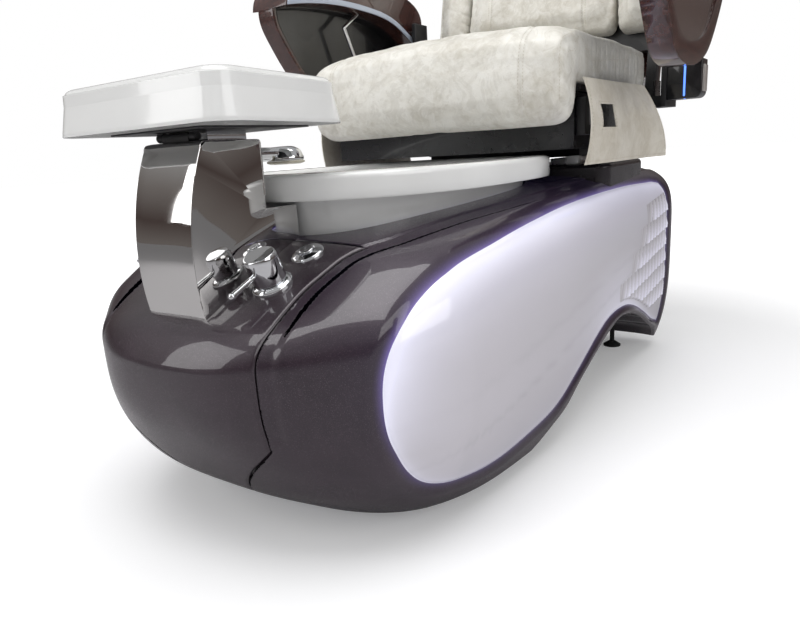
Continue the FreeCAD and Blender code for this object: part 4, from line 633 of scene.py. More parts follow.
# %% Distances to outlines
def spline(points, closed=False, steps=14):
    """A smooth line through points, as many short runs."""
    pts = [np.asarray(p, float) for p in points]
    count = len(pts)
    out = []
    for k in range(count if closed else count - 1):
        if closed:
            a, b, c, d = (pts[(k + j) % count] for j in (-1, 0, 1, 2))
        else:
            b, c = pts[k], pts[k + 1]
            a = pts[k - 1] if k else 2 * b - c
            d = pts[k + 2] if k + 2 < count else 2 * c - b
        da, db, dc = (max(np.linalg.norm(q - p), 1e-9) ** 0.5 for p, q in ((a, b), (b, c), (c, d)))
        m1 = (c - b) + db * ((b - a) / da - (c - a) / (da + db))
        m2 = (c - b) + db * ((d - c) / dc - (d - b) / (db + dc))
        for j in range(steps):
            t = j / steps
            out.append((2 * t ** 3 - 3 * t ** 2 + 1) * b + (t ** 3 - 2 * t ** 2 + t) * m1
                       + (3 * t ** 2 - 2 * t ** 3) * c + (t ** 3 - t ** 2) * m2)
    if not closed:
        out.append(pts[-1])
    return np.array(out)


def distance(outline, spots):
    """Signed distance of 2-D spots to a closed outline: below zero inside it."""
    start, end = outline, np.roll(outline, -1, axis=0)
    run = end - start
    best = np.full(len(spots), 1e9)
    inside = np.zeros(len(spots), bool)
    for a, b, d in zip(start, end, run):
        rel = spots - a
        t = np.clip((rel @ d) / max(d @ d, 1e-18), 0, 1)
        gap = rel - t[:, None] * d
        best = np.minimum(best, np.einsum("ij,ij->i", gap, gap))
        crosses = (a[1] > spots[:, 1]) != (b[1] > spots[:, 1])
        if crosses.any() and abs(d[1]) > 1e-12:
            inside ^= crosses & (spots[:, 0] < a[0] + d[0] * (spots[:, 1] - a[1]) / d[1])
    return np.where(inside, -1, 1) * np.sqrt(best)


def distance_map(outline, step=0.0015, margin=0.06):
    """The same distance, worked out once on a fine grid and read from it, which is far quicker."""
    low, high = outline.min(axis=0) - margin, outline.max(axis=0) + margin
    count = np.ceil((high - low) / step).astype(int) + 1
    across, upward = np.meshgrid(low[0] + step * np.arange(count[0]), low[1] + step * np.arange(count[1]),
                                 indexing="ij")
    grid = distance(outline, np.stack([across.ravel(), upward.ravel()], -1)).reshape(count)

    def read(spots):
        place = np.clip((spots - low) / step, 0, count - 1.001)
        k = place.astype(int)
        a, b = (place - k).T
        i, j = k.T
        return ((grid[i, j] * (1 - a) + grid[i + 1, j] * a) * (1 - b)
                + (grid[i, j + 1] * (1 - a) + grid[i + 1, j + 1] * a) * b)

    return read


def side_outline(shares):
    return [(NOSE + LENGTH * a, WAIST * b) for a, b in shares]


PANEL_FRONT = [(0.952, 0.265), (0.893, 0.355), (0.827, 0.491), (0.747, 0.634), (0.69, 0.688),
               (0.619, 0.681), (0.561, 0.602), (0.486, 0.448), (0.424, 0.312), (0.348, 0.262),
               (0.231, 0.247), (0.144, 0.351), (0.099, 0.627), (0.09, 0.871),
               (0.098, 1.097), (0.12, 1.22), (0.157, 1.33), (0.2, 1.395), (0.293, 1.46),
               (0.424, 1.515), (0.546, 1.55), (0.753, 1.575), (0.90, 1.562)]
PANEL_BACK = [(0.930, 1.54), (0.944, 1.44), (0.945, 1.229), (0.952, 0.70)]
ARCH = [(0.372, 0.06), (0.414, 0.151), (0.457, 0.226), (0.495, 0.358), (0.572, 0.513),
        (0.62, 0.577), (0.663, 0.613), (0.719, 0.588), (0.783, 0.502), (0.868, 0.33),
        (0.925, 0.21), (0.962, 0.09), (0.972, 0.06)]
panel_line = np.concatenate([spline(side_outline(PANEL_FRONT)), spline(side_outline(PANEL_BACK), steps=6)])
arch_top = spline(side_outline(ARCH))
arch_line = np.concatenate([arch_top, [(arch_top[-1][0], -0.2), (arch_top[0][0], -0.2)]])


panel_map, arch_map = distance_map(panel_line), distance_map(arch_line)


def from_panel(p):
    return panel_map(p[:, 1:])


def from_arch(p):
    return arch_map(p[:, 1:])


# %% Groove and nose cover
groove_shares = [-0.2, 0.085, 0.14, 0.20, 0.275, 0.38, 0.70, 1.02]
groove_widths = [0.170, 0.170, 0.1792, 0.2201, 0.2410, 0.2515, 0.262, 0.2672]
groove_at = smooth_table(groove_shares, groove_widths)
SEAM = [(0.0, 0.06), (0.0475, 0.24), (0.1045, 0.47), (0.1634, 0.66), (0.19, 0.78), (0.304, 0.86), (0.5, 0.9)]
seam_at = smooth_table([a for a, b in SEAM], [WAIST * b for a, b in SEAM])
COVER_REAR = -0.516


def from_groove(p):
    """Distance to the groove's middle line, seen from above: below zero towards the middle."""
    share = (p[:, 1] - NOSE) / LENGTH
    lean = (groove_at(share + 0.004) - groove_at(share - 0.004)) / (0.008 * LENGTH)
    return (np.abs(p[:, 0]) - groove_at(share)) / np.sqrt(1 + lean ** 2)


def from_cover(p):
    """Distance to the edge of the nose cover: below zero on the cover."""
    below = (seam_at(np.abs(p[:, 0])) - p[:, 2]) * 0.75
    return np.maximum.reduce([from_groove(p) + 0.010, below, p[:, 1] - COVER_REAR])


# %% Depth of the shell under the plain hull
def ease(v):
    v = np.clip(v, 0, 1)
    return v * v * (3 - 2 * v)


GROOVE_DEPTH, LIP_DEPTH, ROLL_DEPTH, SEAM_DEPTH = 0.0030, 0.0075, 0.006, 0.0012


def shell_depth(p):
    """Groove, rolled edges round the panel and the arch, and the seam's small round."""
    groove = GROOVE_DEPTH * ease((0.018 - from_groove(p)) / 0.013) * ease((p[:, 2] - 0.188) / 0.012)
    groove = groove * ease((from_groove(p) + 0.018) / 0.004)
    lip = LIP_DEPTH * (1 - ease((from_panel(p) - 0.001) / 0.017)) ** 1.3
    roll = ROLL_DEPTH * (1 - np.clip(from_arch(p) / 0.007, 0, 1)) ** 2
    seam = SEAM_DEPTH * (1 - np.clip(np.abs(from_cover(p)) / 0.0022, 0, 1)) ** 2
    return groove + lip + roll + seam


def under(depth_rule):
    """The hull lowered along its own normal by a depth rule."""
    def rule(along, angle):
        base = hull_point(along, angle)
        return base - slopes(hull_point, along, angle) * depth_rule(base)[:, None]
    return rule


shell_rule = under(shell_depth)

# %% [markdown]
# ## A mesh that is fine only where it must be
#
# The rule is sampled on a flat sheet of length share against angle. Runs that are too long for their
# place are split, again and again, and the aim is short runs near a line and long ones elsewhere. An
# edge that crosses a cut line gets a point exactly on it, so the parting lines are clean curves.


# %% Split and cut the flat sheet
def sheet_arrays(sheet):
    sheet.verts.ensure_lookup_table()
    sheet.verts.index_update()
    flat = np.array([v.co[:2] for v in sheet.verts], float)
    return flat, hull_point(flat[:, 0], flat[:, 1])


def flat_sheet(columns=44, rows=30):
    sheet = bmesh.new()
    grid = [[sheet.verts.new((j / columns, math.pi * (k / rows - 0.5), 0)) for k in range(rows + 1)]
            for j in range(columns + 1)]
    for j in range(columns):
        for k in range(rows):
            sheet.faces.new((grid[j][k], grid[j + 1][k], grid[j + 1][k + 1], grid[j][k + 1]))
    bmesh.ops.triangulate(sheet, faces=sheet.faces)
    return sheet


def refine(sheet, gap_rule, coarse, fine, rounds=7):
    """Splits edges until each is about as long as its distance from the lines allows."""
    for _ in range(rounds):
        flat, spots = sheet_arrays(sheet)
        gap = gap_rule(spots)
        ends = np.array([[v.index for v in e.verts] for e in sheet.edges])
        run = np.linalg.norm(spots[ends[:, 0]] - spots[ends[:, 1]], axis=1)
        aim = np.clip(fine + 0.45 * np.minimum(gap[ends[:, 0]], gap[ends[:, 1]]), fine, coarse)
        long = run > 1.35 * aim
        if not long.any():
            break
        edges = [e for e, yes in zip(sheet.edges, long) if yes]
        bmesh.ops.subdivide_edges(sheet, edges=edges, cuts=1, use_grid_fill=False)
        bmesh.ops.triangulate(sheet, faces=[f for f in sheet.faces if len(f.verts) > 3])


def cut_away(sheet, level_rule):
    """Removes what lies where the level is above zero, along the exact line of level zero."""
    flat, spots = sheet_arrays(sheet)
    level = level_rule(spots)
    level[np.abs(level) < 1e-6] = 1e-6
    edges = list(sheet.edges)
    ends = np.array([[v.index for v in e.verts] for e in edges])
    la, lb = level[ends[:, 0]], level[ends[:, 1]]
    cross = np.flatnonzero(la * lb < 0)
    if len(cross):
        a, b = flat[ends[cross, 0]], flat[ends[cross, 1]]
        low, high = np.zeros(len(cross)), np.ones(len(cross))
        for _ in range(9):
            mid = (low + high) / 2
            at = a + (b - a) * mid[:, None]
            same = level_rule(hull_point(at[:, 0], at[:, 1])) * la[cross] > 0
            low, high = np.where(same, mid, low), np.where(same, high, mid)
        made = []
        for k, share in zip(cross, (low + high) / 2):
            edge = edges[k]
            made.append(bmesh.utils.edge_split(edge, edge.verts[0], float(share))[1])
        bmesh.ops.connect_verts(sheet, verts=made)
    centres = np.array([f.calc_center_median()[:2] for f in sheet.faces])
    gone = level_rule(hull_point(centres[:, 0], centres[:, 1])) > 0
    bmesh.ops.delete(sheet, geom=[f for f, yes in zip(sheet.faces, gone) if yes], context="FACES")
    bmesh.ops.triangulate(sheet, faces=[f for f in sheet.faces if len(f.verts) > 3])


FLIP = np.array([-1.0, 1.0, 1.0])


def both_sides(spots, normals, faces, fields):
    """Adds the mirror image and joins the halves where they meet on the middle plane."""
    spots[np.abs(spots[:, 0]) < 2e-5, 0] = 0
    every = np.concatenate([spots, spots * FLIP])
    normal = np.concatenate([normals, normals * FLIP])
    count = len(spots)
    face = np.concatenate([faces, faces[:, ::-1] + count])
    _, first, back = np.unique(every.round(6), axis=0, return_index=True, return_inverse=True)
    back = back.reshape(-1)
    face = back[face]
    whole = (face[:, 0] != face[:, 1]) & (face[:, 1] != face[:, 2]) & (face[:, 0] != face[:, 2])
    normal = normal[first]
    on_middle = np.abs(every[first][:, 0]) < 1e-7
    normal[on_middle, 0] = 0
    normal /= np.maximum(np.linalg.norm(normal, axis=1, keepdims=True), 1e-9)
    extra = {k: np.concatenate([v, v])[first] for k, v in fields.items()}
    return every[first], normal, face[whole], extra


def hull_piece(name, sheet, rule, paint, stands_for, glow=None, side="both"):
    """Lifts the flat sheet onto a rule of the hull and makes a piece of one side or both."""
    flat, spots = sheet_arrays(sheet)
    faces = np.array([[v.index for v in f.verts] for f in sheet.faces])
    lifted = rule(flat[:, 0], flat[:, 1])
    normals = slopes(rule, flat[:, 0], flat[:, 1])
    fields = {"glow": glow(spots)} if glow else {}
    sheet.free()
    if side == "both":
        lifted, normals, faces, fields = both_sides(lifted, normals, faces, fields)
    elif side == "left":
        lifted, normals, faces = lifted * FLIP, normals * FLIP, faces[:, ::-1]
    print(name, len(faces), "triangles")
    piece(name, lifted, faces, paint, "base", stands_for, normals=normals, fields=fields)


def band(values, low, high):
    """How far values are outside a span."""
    return np.maximum(np.maximum(low - values, values - high), 0)


# %% Where the sheet is cut
TUB_CENTRE, HOLE_HALF_X, HOLE_HALF_Y = -0.186, 0.198, 0.317


def from_tub(p):
    """About the distance to the tub's hole in the shell: below zero inside it."""
    x, y = np.abs(p[:, 0]) / HOLE_HALF_X, np.abs(p[:, 1] - TUB_CENTRE) / HOLE_HALF_Y
    return (x ** 3 + y ** 3) ** (1 / 3) * 0.25 - 0.25


def shell_gap(p):
    """Distance from all that needs a fine mesh on the shell."""
    return np.minimum.reduce([
        np.where(p[:, 2] > 0.17, band(from_groove(p), -0.018, 0.019), 1.0),
        band(from_panel(p), -0.001, 0.019), band(from_arch(p), -0.001, 0.008),
        np.where(p[:, 1] < -0.45, np.abs(from_cover(p)), 1.0)])


# %% Base shell
sheet = flat_sheet()
refine(sheet, shell_gap, 0.014, 0.0030)
for rule in (lambda p: LOWEST - p[:, 2], lambda p: -from_arch(p), lambda p: -from_panel(p),
             lambda p: -from_tub(p), lambda p: 0.0006 - from_cover(p)):
    cut_away(sheet, rule)


def shell_glow(p):
    """Violet light that the panel throws on the rolled edge round it."""
    gap = np.clip(from_panel(p), 0, None)
    top = np.clip((p[:, 2] - 0.12) / 0.25, 0.25, 1)
    return top * (1.0 * np.clip(1 - gap / 0.011, 0, 1) ** 2 + 0.04 * np.exp(-gap / 0.03))


hull_piece("base_shell_skin", sheet, shell_rule, plum_shell, ["base_shell"], shell_glow)

# %% Nose cover
sheet = flat_sheet()


def cover_gap(p):
    """Distance from all that needs a fine mesh on the nose cover."""
    return np.minimum(np.abs(from_cover(p)), band(from_groove(p), -0.013, 0.0)) + 0.0002


refine(sheet, cover_gap, 0.009, 0.0028)
cut_away(sheet, lambda p: from_cover(p) + 0.0006)
cut_away(sheet, lambda p: -from_tub(p))
deck_axis = np.array([0, -0.4067, 0.9135])
button_low, button_high = (np.array(v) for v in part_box("pump_button"))
BUTTON_CLEAR = (button_high[0] - button_low[0]) / 2 + 0.0008


def in_button_hole(p):
    """Above zero in the round hole through which the button is pressed."""
    way = p - (button_low + button_high) / 2
    return BUTTON_CLEAR - np.linalg.norm(way - np.outer(way @ deck_axis, deck_axis), axis=1)


cut_away(sheet, in_button_hole)


def cover_depth(p):
    """The cover's edges are rounded over."""
    return 0.0035 * (1 - np.clip(-from_cover(p) / 0.005, 0, 1)) ** 2


hull_piece("nose_cover_skin", sheet, under(cover_depth), plum_plain, ["nose_cover"])

# %% Bed under the cover's parting line
BED_DEPTH, BED_REACH = 0.0062, 0.010
sheet = flat_sheet()
refine(sheet, lambda p: np.abs(from_cover(p)), 0.012, 0.004)
cut_away(sheet, lambda p: np.abs(from_cover(p)) - BED_REACH)
cut_away(sheet, lambda p: -from_tub(p))
hull_piece("seam_bed", sheet, under(lambda p: np.full(len(p), BED_DEPTH)), plum_plain, [])

# %% [markdown]
# ## Light panels
#
# Each side has a translucent white panel with a strip of violet light behind its edge. At the rear it
# carries rows of leaning leaf facets, like feathers, and two long faint creases run through it. All of
# this is one more depth under the hull, so the panel is the same kind of piece as the shell. How near a
# point is to the strip is kept as a number on each point, and the finish turns that into light. On the
# leaf rows the number also follows the facets' height, which paints highlight on the ridges and shade in
# the hollows.

# %% Relief of the light panel
LEAF_ROWS = [(1.37, 0.826), (1.216, 0.785), (1.062, 0.742), (0.908, 0.68), (0.765, 0.60), (0.61, 0.60)]
ROW, LEAF, RISE, PANEL_DEPTH = 0.043, 0.027, 0.010, 0.0055


def leaf_relief(p, edge):
    """Height of the leaf facets over the sheet. edge is the distance to the panel's outline."""
    y, z = p[:, 1], p[:, 2]
    rear = NOSE + LENGTH * 0.918
    height = np.zeros(len(p))
    for level, first in LEAF_ROWS:
        low = WAIST * level - ROW / 2 + 0.10 * (y - rear)
        v = (z - low) / ROW
        lane = (y - rear) / LEAF - 0.55 * v
        t = lane - np.floor(lane)
        ridge = 0.55 + 0.25 * v
        tent = np.where(t < ridge, t / ridge, (1 - t) / (1 - ridge))
        leaf = np.clip(tent - 0.45 * np.clip(v, 0, 1) ** 3, 0, 1)
        start = NOSE + LENGTH * first - 0.02
        fade = ease((y - start) / 0.05) * ease((-edge - 0.011) / 0.006)
        row = RISE * fade * (0.22 * (1 - v) + 0.5 * leaf * (1 - 0.5 * v))
        height = np.where((v > 0) & (v < 1), row, height)
    return height


def panel_depth(p):
    """The sheet lies just under the hull, rounds over at its edge and carries the relief."""
    edge = from_panel(p)
    fall = 0.0015 * (1 - np.clip(-edge / 0.006, 0, 1)) ** 2
    crease = 0.0012 * ease((p[:, 2] - 0.215 - 0.11 * (p[:, 1] + 0.4)) / 0.018)
    crease += 0.0010 * ease((p[:, 2] - 0.165 - 0.16 * (p[:, 1] + 0.3)) / 0.014)
    return PANEL_DEPTH + fall - crease - leaf_relief(p, edge)


def relief_gap(p):
    """Zero on the leaf rows, so that the mesh is fine there."""
    low_front = NOSE + LENGTH * 0.58 + (p[:, 2] - 0.19) * 1.45
    return np.maximum(np.maximum(low_front - p[:, 1], 0), np.maximum(0.15 - p[:, 2], 0))


def panel_glow_and_painted_shade(p):
    """Nearness to the light strips, strongest along the top and the ends, plus painted facet shade on the
    leaf rows.
    """
    deep = np.clip(-from_panel(p), 0, None)
    top = np.clip((p[:, 2] - 0.14) / 0.14, 0.12, 1)
    wide = np.exp(-deep / 0.042) * top
    relief = leaf_relief(p, from_panel(p)) / RISE
    glow = 1.15 * wide + 0.45 * np.exp(-deep / 0.006)
    # On the leaf rows: painted highlight on the facets' ridges and painted shade in their hollows.
    return np.clip(np.where(relief > 0, 0.35 * glow + 1.5 * (relief - 0.16), glow), 0, 1)


for side in ("right", "left"):
    sheet = flat_sheet()
    refine(sheet, lambda p: np.minimum(band(-from_panel(p), -0.001, 0.007), relief_gap(p)), 0.013, 0.0030)
    cut_away(sheet, lambda p: from_panel(p) - 0.0008)
    hull_piece("lit_panel_" + side, sheet, under(panel_depth), panel_light, ["light_panel_" + side],
               panel_glow_and_painted_shade, side)

# %% Light strips behind the panels' upper edges
upper = panel_line[(panel_line[:, 1] > WAIST * 1.30) & (panel_line[:, 0] < NOSE + LENGTH * 0.90)][::4]
reach = np.sqrt((upper[:, 0] - NOSE) / LENGTH)
level = np.clip((upper[:, 1] - 0.008 - WAIST) / (CROWN * crown_at(reach)), 0, 1)
inner_x = HALF * width_at(reach) * (1 - level ** power_at(reach)) ** (1 / power_at(reach)) - 0.017
STRIP_RADIUS, STRIP_DROP = 0.0028, 0.012
strip_points, strip_faces = [], []
for side in (1, -1):
    rings = [[(side * x + STRIP_RADIUS * math.cos(a), y, z - STRIP_DROP + STRIP_RADIUS * math.sin(a))
              for a in around(8)] for x, (y, z) in zip(inner_x, upper)]
    points, faces = rings_to_mesh(rings, cap_start=True, cap_end=True)
    strip_faces += [[v + len(strip_points) for v in face] for face in faces]
    strip_points += points
strips = piece("light_strips", strip_points, strip_faces, led_paint, "base", ["led_strips"])
outward(strips.data)

# %% [markdown]
# ## Under the arch, the rear wall and the foot of the shell
#
# The arch runs through the whole base. Its roof is a strip between the arch edges of both sides, so its
# outer points are taken from the shell's own rule. The rear wall and the turned-in foot are built from
# the same outline, and no gap opens between them and the shell.


# %% Roof of the arch
def on_shell(y, z):
    """Points of the shell's surface at places given by length and height, below the waist."""
    along = np.sqrt((np.asarray(y) - NOSE) / LENGTH)
    level = np.clip((WAIST - np.asarray(z)) / (BELLY * belly_at(along)), 0, 1)
    return shell_rule(along, -np.arcsin(level ** 1.5))


edge_line = arch_top[(arch_top[:, 1] > LOWEST)]
edge_line = np.concatenate([[[np.interp(LOWEST, arch_top[:20, 1], arch_top[:20, 0]), LOWEST]], edge_line,
                            [[np.interp(LOWEST, arch_top[:-20:-1, 1], arch_top[:-20:-1, 0]), LOWEST]]])
rims = on_shell(edge_line[:, 0], edge_line[:, 1])
rings = []
for share in np.concatenate([[-1, -0.985], np.linspace(-0.95, 0.95, 21), [0.985, 1]]):
    ring = rims * np.array([share, 1, 1])
    ring[:, 2] += 0.003 * (1 - abs(share) ** 12)
    rings.append(ring)
points, faces = rings_to_mesh(rings, closed_ring=False)
piece("arch_roof", points, faces, plum_plain, "base", crisp=40)


# %% Rear wall with the door's opening
def flat_plate(name, outline, hole, paint, body):
    """A flat face inside an outline, with a hole."""
    work = bmesh.new()
    edges = []
    for loop in (outline, hole):
        spots = [work.verts.new(tuple(map(float, p))) for p in loop]
        edges += [work.edges.new((a, b)) for a, b in zip(spots, spots[1:] + spots[:1])]
    bmesh.ops.triangle_fill(work, edges=edges, use_beauty=True)
    mesh = bpy.data.meshes.new(name)
    work.to_mesh(mesh)
    work.free()
    mesh.materials.append(paint)
    settle(placed(mesh), body)


heights = np.linspace(-1, 1, 61)
angles = np.sign(heights) * np.pi / 2 * np.abs(heights) ** 0.8
ends = hull_point(np.ones_like(angles), angles)
ends = ends[ends[:, 2] > LOWEST]
low_end = on_shell([NOSE + LENGTH * 0.99999], [LOWEST])[0]
low_end[1] = NOSE + LENGTH
half = np.concatenate([[low_end], ends])
wall = np.concatenate([half, (half * FLIP)[::-1][1:]])
door_low, door_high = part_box("rear_door")
inset = 0.012
left_x, right_x = door_low[0] + inset, door_high[0] - inset
low_z, high_z = door_low[2] + inset, door_high[2] - inset
corners = ((left_x, low_z), (right_x, low_z), (right_x, high_z), (left_x, high_z))
hole = [(x, NOSE + LENGTH, z) for x, z in corners]
flat_plate("rear_wall", wall, hole, plum_plain, "base")
print("door", [round(v, 4) for v in (*door_low, *door_high)])


# %% Turned-in foot of the shell
LIP_WIDTH, LIP_HEIGHT = 0.010, 0.12


def foot_strip(name, y_from, y_to, closed_front):
    """A lip that turns in under the shell's lower edge and up again."""
    y = np.linspace(y_from, y_to, 60)
    if closed_front:
        ends = np.sqrt((np.array([y_from, y_to]) - NOSE) / LENGTH)
        y = NOSE + LENGTH * np.linspace(*ends, 60) ** 2
    right = on_shell(y, np.full(60, LOWEST))
    right = right[right[:, 0] > 0.002]
    left = right * FLIP
    line = np.concatenate([right[::-1], left]) if closed_front else np.concatenate([right, left[::-1]])
    run = np.gradient(line, axis=0)
    inward = np.stack([-run[:, 1], run[:, 0], np.zeros(len(run))], -1)
    inward /= np.maximum(np.linalg.norm(inward, axis=1, keepdims=True), 1e-9)
    middle = line.mean(axis=0)
    flip = np.sign(((middle - line) * inward).sum(axis=1).mean())
    inner = line + inward * LIP_WIDTH * flip
    top = inner + np.array([0, 0, LIP_HEIGHT])
    points, faces = rings_to_mesh([line, inner, top], closed_ring=False)
    piece(name, points, faces, plum_plain, "base", crisp=40)


nose_low = NOSE + LENGTH * 0.0045
foot_strip("foot_lip_front", nose_low, edge_line[0][0], True)
foot_strip("foot_lip_rear", edge_line[-1][0], NOSE + LENGTH * 0.9995, False)

# %% [markdown]
# ## Seat step and tub
#
# The chair stands on a raised step with the shell's finish. The tub is one white moulding: a broad flat
# rim, a mouth with a soft edge and a bowl that narrows to the drain. Both are rings of the same rounded
# oval, which is a circle raised to a power: 2 is an ellipse, and more is squarer.


# %% Rounded ovals
def oval_ring(half_x, half_y, centre, z, power, count=128):
    turn = np.arange(count) * 2 * np.pi / count
    c, s = np.cos(turn), np.sin(turn)
    return np.stack([half_x * np.sign(c) * np.abs(c) ** (2 / power),
                     centre + half_y * np.sign(s) * np.abs(s) ** (2 / power), np.full(count, z)], -1)


def round_box_ring(low, high, corner, z, steps=10):
    """A rectangle with rounded corners at height z."""
    ring = []
    for sx, sy, start in ((1, 1, 0), (-1, 1, 90), (-1, -1, 180), (1, -1, 270)):
        cx = high[0] - corner if sx > 0 else low[0] + corner
        cy = high[1] - corner if sy > 0 else low[1] + corner
        for k in range(steps + 1):
            a = math.radians(start + 90 * k / steps)
            ring.append((cx + corner * math.cos(a), cy + corner * math.sin(a), z))
    return np.array(ring)


# %% Seat step
STEP_HALF, STEP_FRONT, STEP_REAR, STEP_TOP, STEP_ROUND = 0.292, 0.178, 0.452, 0.490, 0.0095
levels = [(0, 0.430), (0, 0.4795)]
levels += [(STEP_ROUND * (1 - math.cos(a)), STEP_TOP - STEP_ROUND + STEP_ROUND * math.sin(a))
           for a in quarter(0.1)]
levels += [(0.05, STEP_TOP + 0.0001), (0.12, STEP_TOP + 0.0001)]
rings = [round_box_ring((-STEP_HALF + inset, STEP_FRONT + inset), (STEP_HALF - inset, STEP_REAR - inset),
                        max(0.028 - inset, 0.006), z) for inset, z in levels]
points, faces = rings_to_mesh(rings, cap_end=True)
piece("seat_step_cover", points, faces, step_satin, "base", ["seat_step"], crisp=40)

# %% Tub
# Each ring is half its width, half its length, its height and its power.
TUB_FLOOR = 0.225
OUT = [(0.145, 0.233, 0.219), (0.1823, 0.293, 0.351), (0.196, 0.315, 0.477)]
IN = [(0.139, 0.227, 0.225), (0.1763, 0.287, 0.351), (0.190, 0.309, 0.477)]


def along_wall(wall, share):
    """A ring of the bowl's wall, from its foot at 0 to its top at 1."""
    return (*(np.interp(share, [0, 0.5, 1], values) for values in zip(*wall)), 3.0)


tub_rings = [along_wall(OUT, share) for share in np.linspace(0, 1, 9)]
tub_rings += [(0.200, 0.319, 0.477, 2.9), (0.230, 0.336, 0.477, 2.7), (0.2565, 0.3505, 0.4772, 2.6)]
tub_rings += [(0.258, 0.352, z, 2.6) for z in (0.480, 0.492, 0.505)]
tub_rings += [(0.249 + 0.009 * math.cos(a), 0.343 + 0.009 * math.cos(a), 0.506 + 0.009 * math.sin(a), 2.6)
              for a in quarter(0.15)]
tub_rings += [(0.240, 0.336, 0.5156, 2.62), (0.230, 0.328, 0.5158, 2.66), (0.2205, 0.3185, 0.5152, 2.72)]
tub_rings += [(0.2205 - 0.010 * math.sin(a), 0.3185 - 0.0098 * math.sin(a),
               0.5052 + 0.010 * math.cos(a), 2.78) for a in quarter(0.25)]
tub_rings += [(0.207, 0.3083, 0.498, 2.82), (0.200, 0.3087, 0.487, 2.9), (0.1915, 0.309, 0.478, 2.97)]
tub_rings += [along_wall(IN, share) for share in np.linspace(0.97, 0.13, 12)]
tub_rings += [(0.116 + 0.030 * math.cos(a), 0.204 + 0.030 * math.cos(a),
               0.2552 - 0.030 * math.sin(a), 2.95) for a in quarter(0.25)]
tub_rings += [(0.08, 0.15, 0.2251, 2.7), (0.05, 0.08, 0.225, 2.3), (0.030, 0.034, 0.225, 2.05),
              (0.024, 0.024, 0.2249, 2.0), (0.024, 0.024, 0.2192, 2.0), (0.05, 0.08, 0.219, 2.3),
              (0.10, 0.17, 0.219, 2.7)]
rings = [oval_ring(x, y, TUB_CENTRE, z, power) for x, y, z, power in tub_rings]
points, faces = rings_to_mesh(rings + rings[:1])
closed(piece("tub_moulding", points, faces, white_gloss, "base", ["tub"]), 50)


# %% Overflow cover, drain and jet
def wall_y(z):
    """The rear inside of the bowl at a height."""
    return TUB_CENTRE + np.interp(z, [0.225, 0.351, 0.477, 0.521], [0.227, 0.287, 0.309, 0.308])


def upright(x, y, z, turn):
    return Matrix.Translation((x, y, z)) @ Matrix.Rotation(math.radians(turn), 4, "X")


low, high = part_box("overflow_cover")
middle_z = (low[2] + high[2]) / 2
OVAL_STEPS = [(0, 0.0), (0, 0.003), (0.0006, 0.0042), (0.002, 0.0049), (0.006, 0.005), (0.0068, 0.0038),
              (0.009, 0.0036)]
turn = np.arange(48) * 2 * np.pi / 48
rings = []
for inset, out in OVAL_STEPS:
    x = (0.033 - inset) * np.sign(np.cos(turn)) * np.abs(np.cos(turn)) ** 0.91
    z = (0.010 - inset) * np.sign(np.sin(turn)) * np.abs(np.sin(turn)) ** 0.91
    rings.append(np.stack([x, np.full(48, high[1] - out), middle_z + z], -1))
capped("overflow_oval", rings, black_gloss, "base", ["overflow_cover"], 40)

drain = Matrix.Translation((0, TUB_CENTRE, TUB_FLOOR))
lathed("drain_flange", [(18.2, -70), (23.6, -70), (23.6, 0), (36, 0), (35.6, 1.2), (33, 3), (20.2, 3),
                        (18.2, 0.5), (18.2, -70)], 0.6, 3, drain, chrome, "base", ["drain_fitting"])
lathed("drain_plug", [(0.1, -49), (3, -49), (3, 0), (17.6, 2), (17.6, 4.4), (16.4, 5.4), (8, 6.2), (0.1, 7)],
       0.8, 3, drain, chrome, "stopper", ["drain_stopper"])
JET_Y, JET_Z = 0.111275, 0.41
jet_cover = lathed("jet_cover_cap", [(8, -10.8), (32.3, -6.3), (32.3, 8), (38, 8), (38, -9), (22.8, -15),
                                     (8, -15), (8, -10.8)],
                   2, 4, upright(0, JET_Y, JET_Z, -90), black_gloss, "base", ["jet_cover"])
for spot in jet_cover.data.vertices:
    if spot.co.y > JET_Y + 0.0002:
        spot.co.y = float(wall_y(spot.co.z)) + 0.0012

# %% [markdown]
# ## Tower
#
# The tower in front of the tub is bent from polished sheet: a strip bows out at the front, turns back
# over the top and folds down behind. Polished sheet is never dead flat, and a crown of half a millimetre
# gives the long bent reflections of the real one.

# %% Bent front strip
def arc_through(a, b, c, steps):
    """Points on the circle through three points of a plane."""
    a, b, c = (Vector(v) for v in (a, b, c))
    twice = 2 * (a.x * (b.y - c.y) + b.x * (c.y - a.y) + c.x * (a.y - b.y))
    turns = ((a, b, c), (b, c, a), (c, a, b))
    ux = sum(p.length_squared * (q.y - r.y) for p, q, r in turns) / twice
    uy = sum(p.length_squared * (r.x - q.x) for p, q, r in turns) / twice
    centre = Vector((ux, uy))
    one, two, three = (math.atan2(v.y - uy, v.x - ux) for v in (a, b, c))
    two += 2 * math.pi * round((one - two) / (2 * math.pi))
    three += 2 * math.pi * round((two - three) / (2 * math.pi))
    radius = (a - centre).length
    return [(ux + radius * math.cos(one + (three - one) * k / steps),
             uy + radius * math.sin(one + (three - one) * k / steps)) for k in range(steps + 1)]


TOWER_TOP, TOWER_REAR, FOLD = 0.566, -0.565, 0.009
front = arc_through((-0.694, 0.333), (-0.702, 0.436), (-0.670, TOWER_TOP - FOLD), 48)
fold = [(-0.670 + FOLD + FOLD * math.cos(a), TOWER_TOP - FOLD + FOLD * math.sin(a))
        for a in quarter(math.pi, 9)[1:]]
back = [(TOWER_REAR - 0.006 + 0.006 * math.sin(a), TOWER_TOP - 0.006 + 0.006 * math.cos(a))
        for a in quarter(0)]
flat_top = [(y, TOWER_TOP) for y in (-0.64, -0.61, -0.59)]
line = np.array(front + fold + flat_top + back + [(TOWER_REAR, 0.53), (TOWER_REAR, 0.49)])
run = np.gradient(line, axis=0)
side_way = np.stack([run[:, 1], -run[:, 0]], -1)
side_way /= np.linalg.norm(side_way, axis=1, keepdims=True)
if ((line.mean(axis=0) - line) * side_way).sum() < 0:
    side_way = -side_way
sheet_t, half_w = 0.002, 0.058
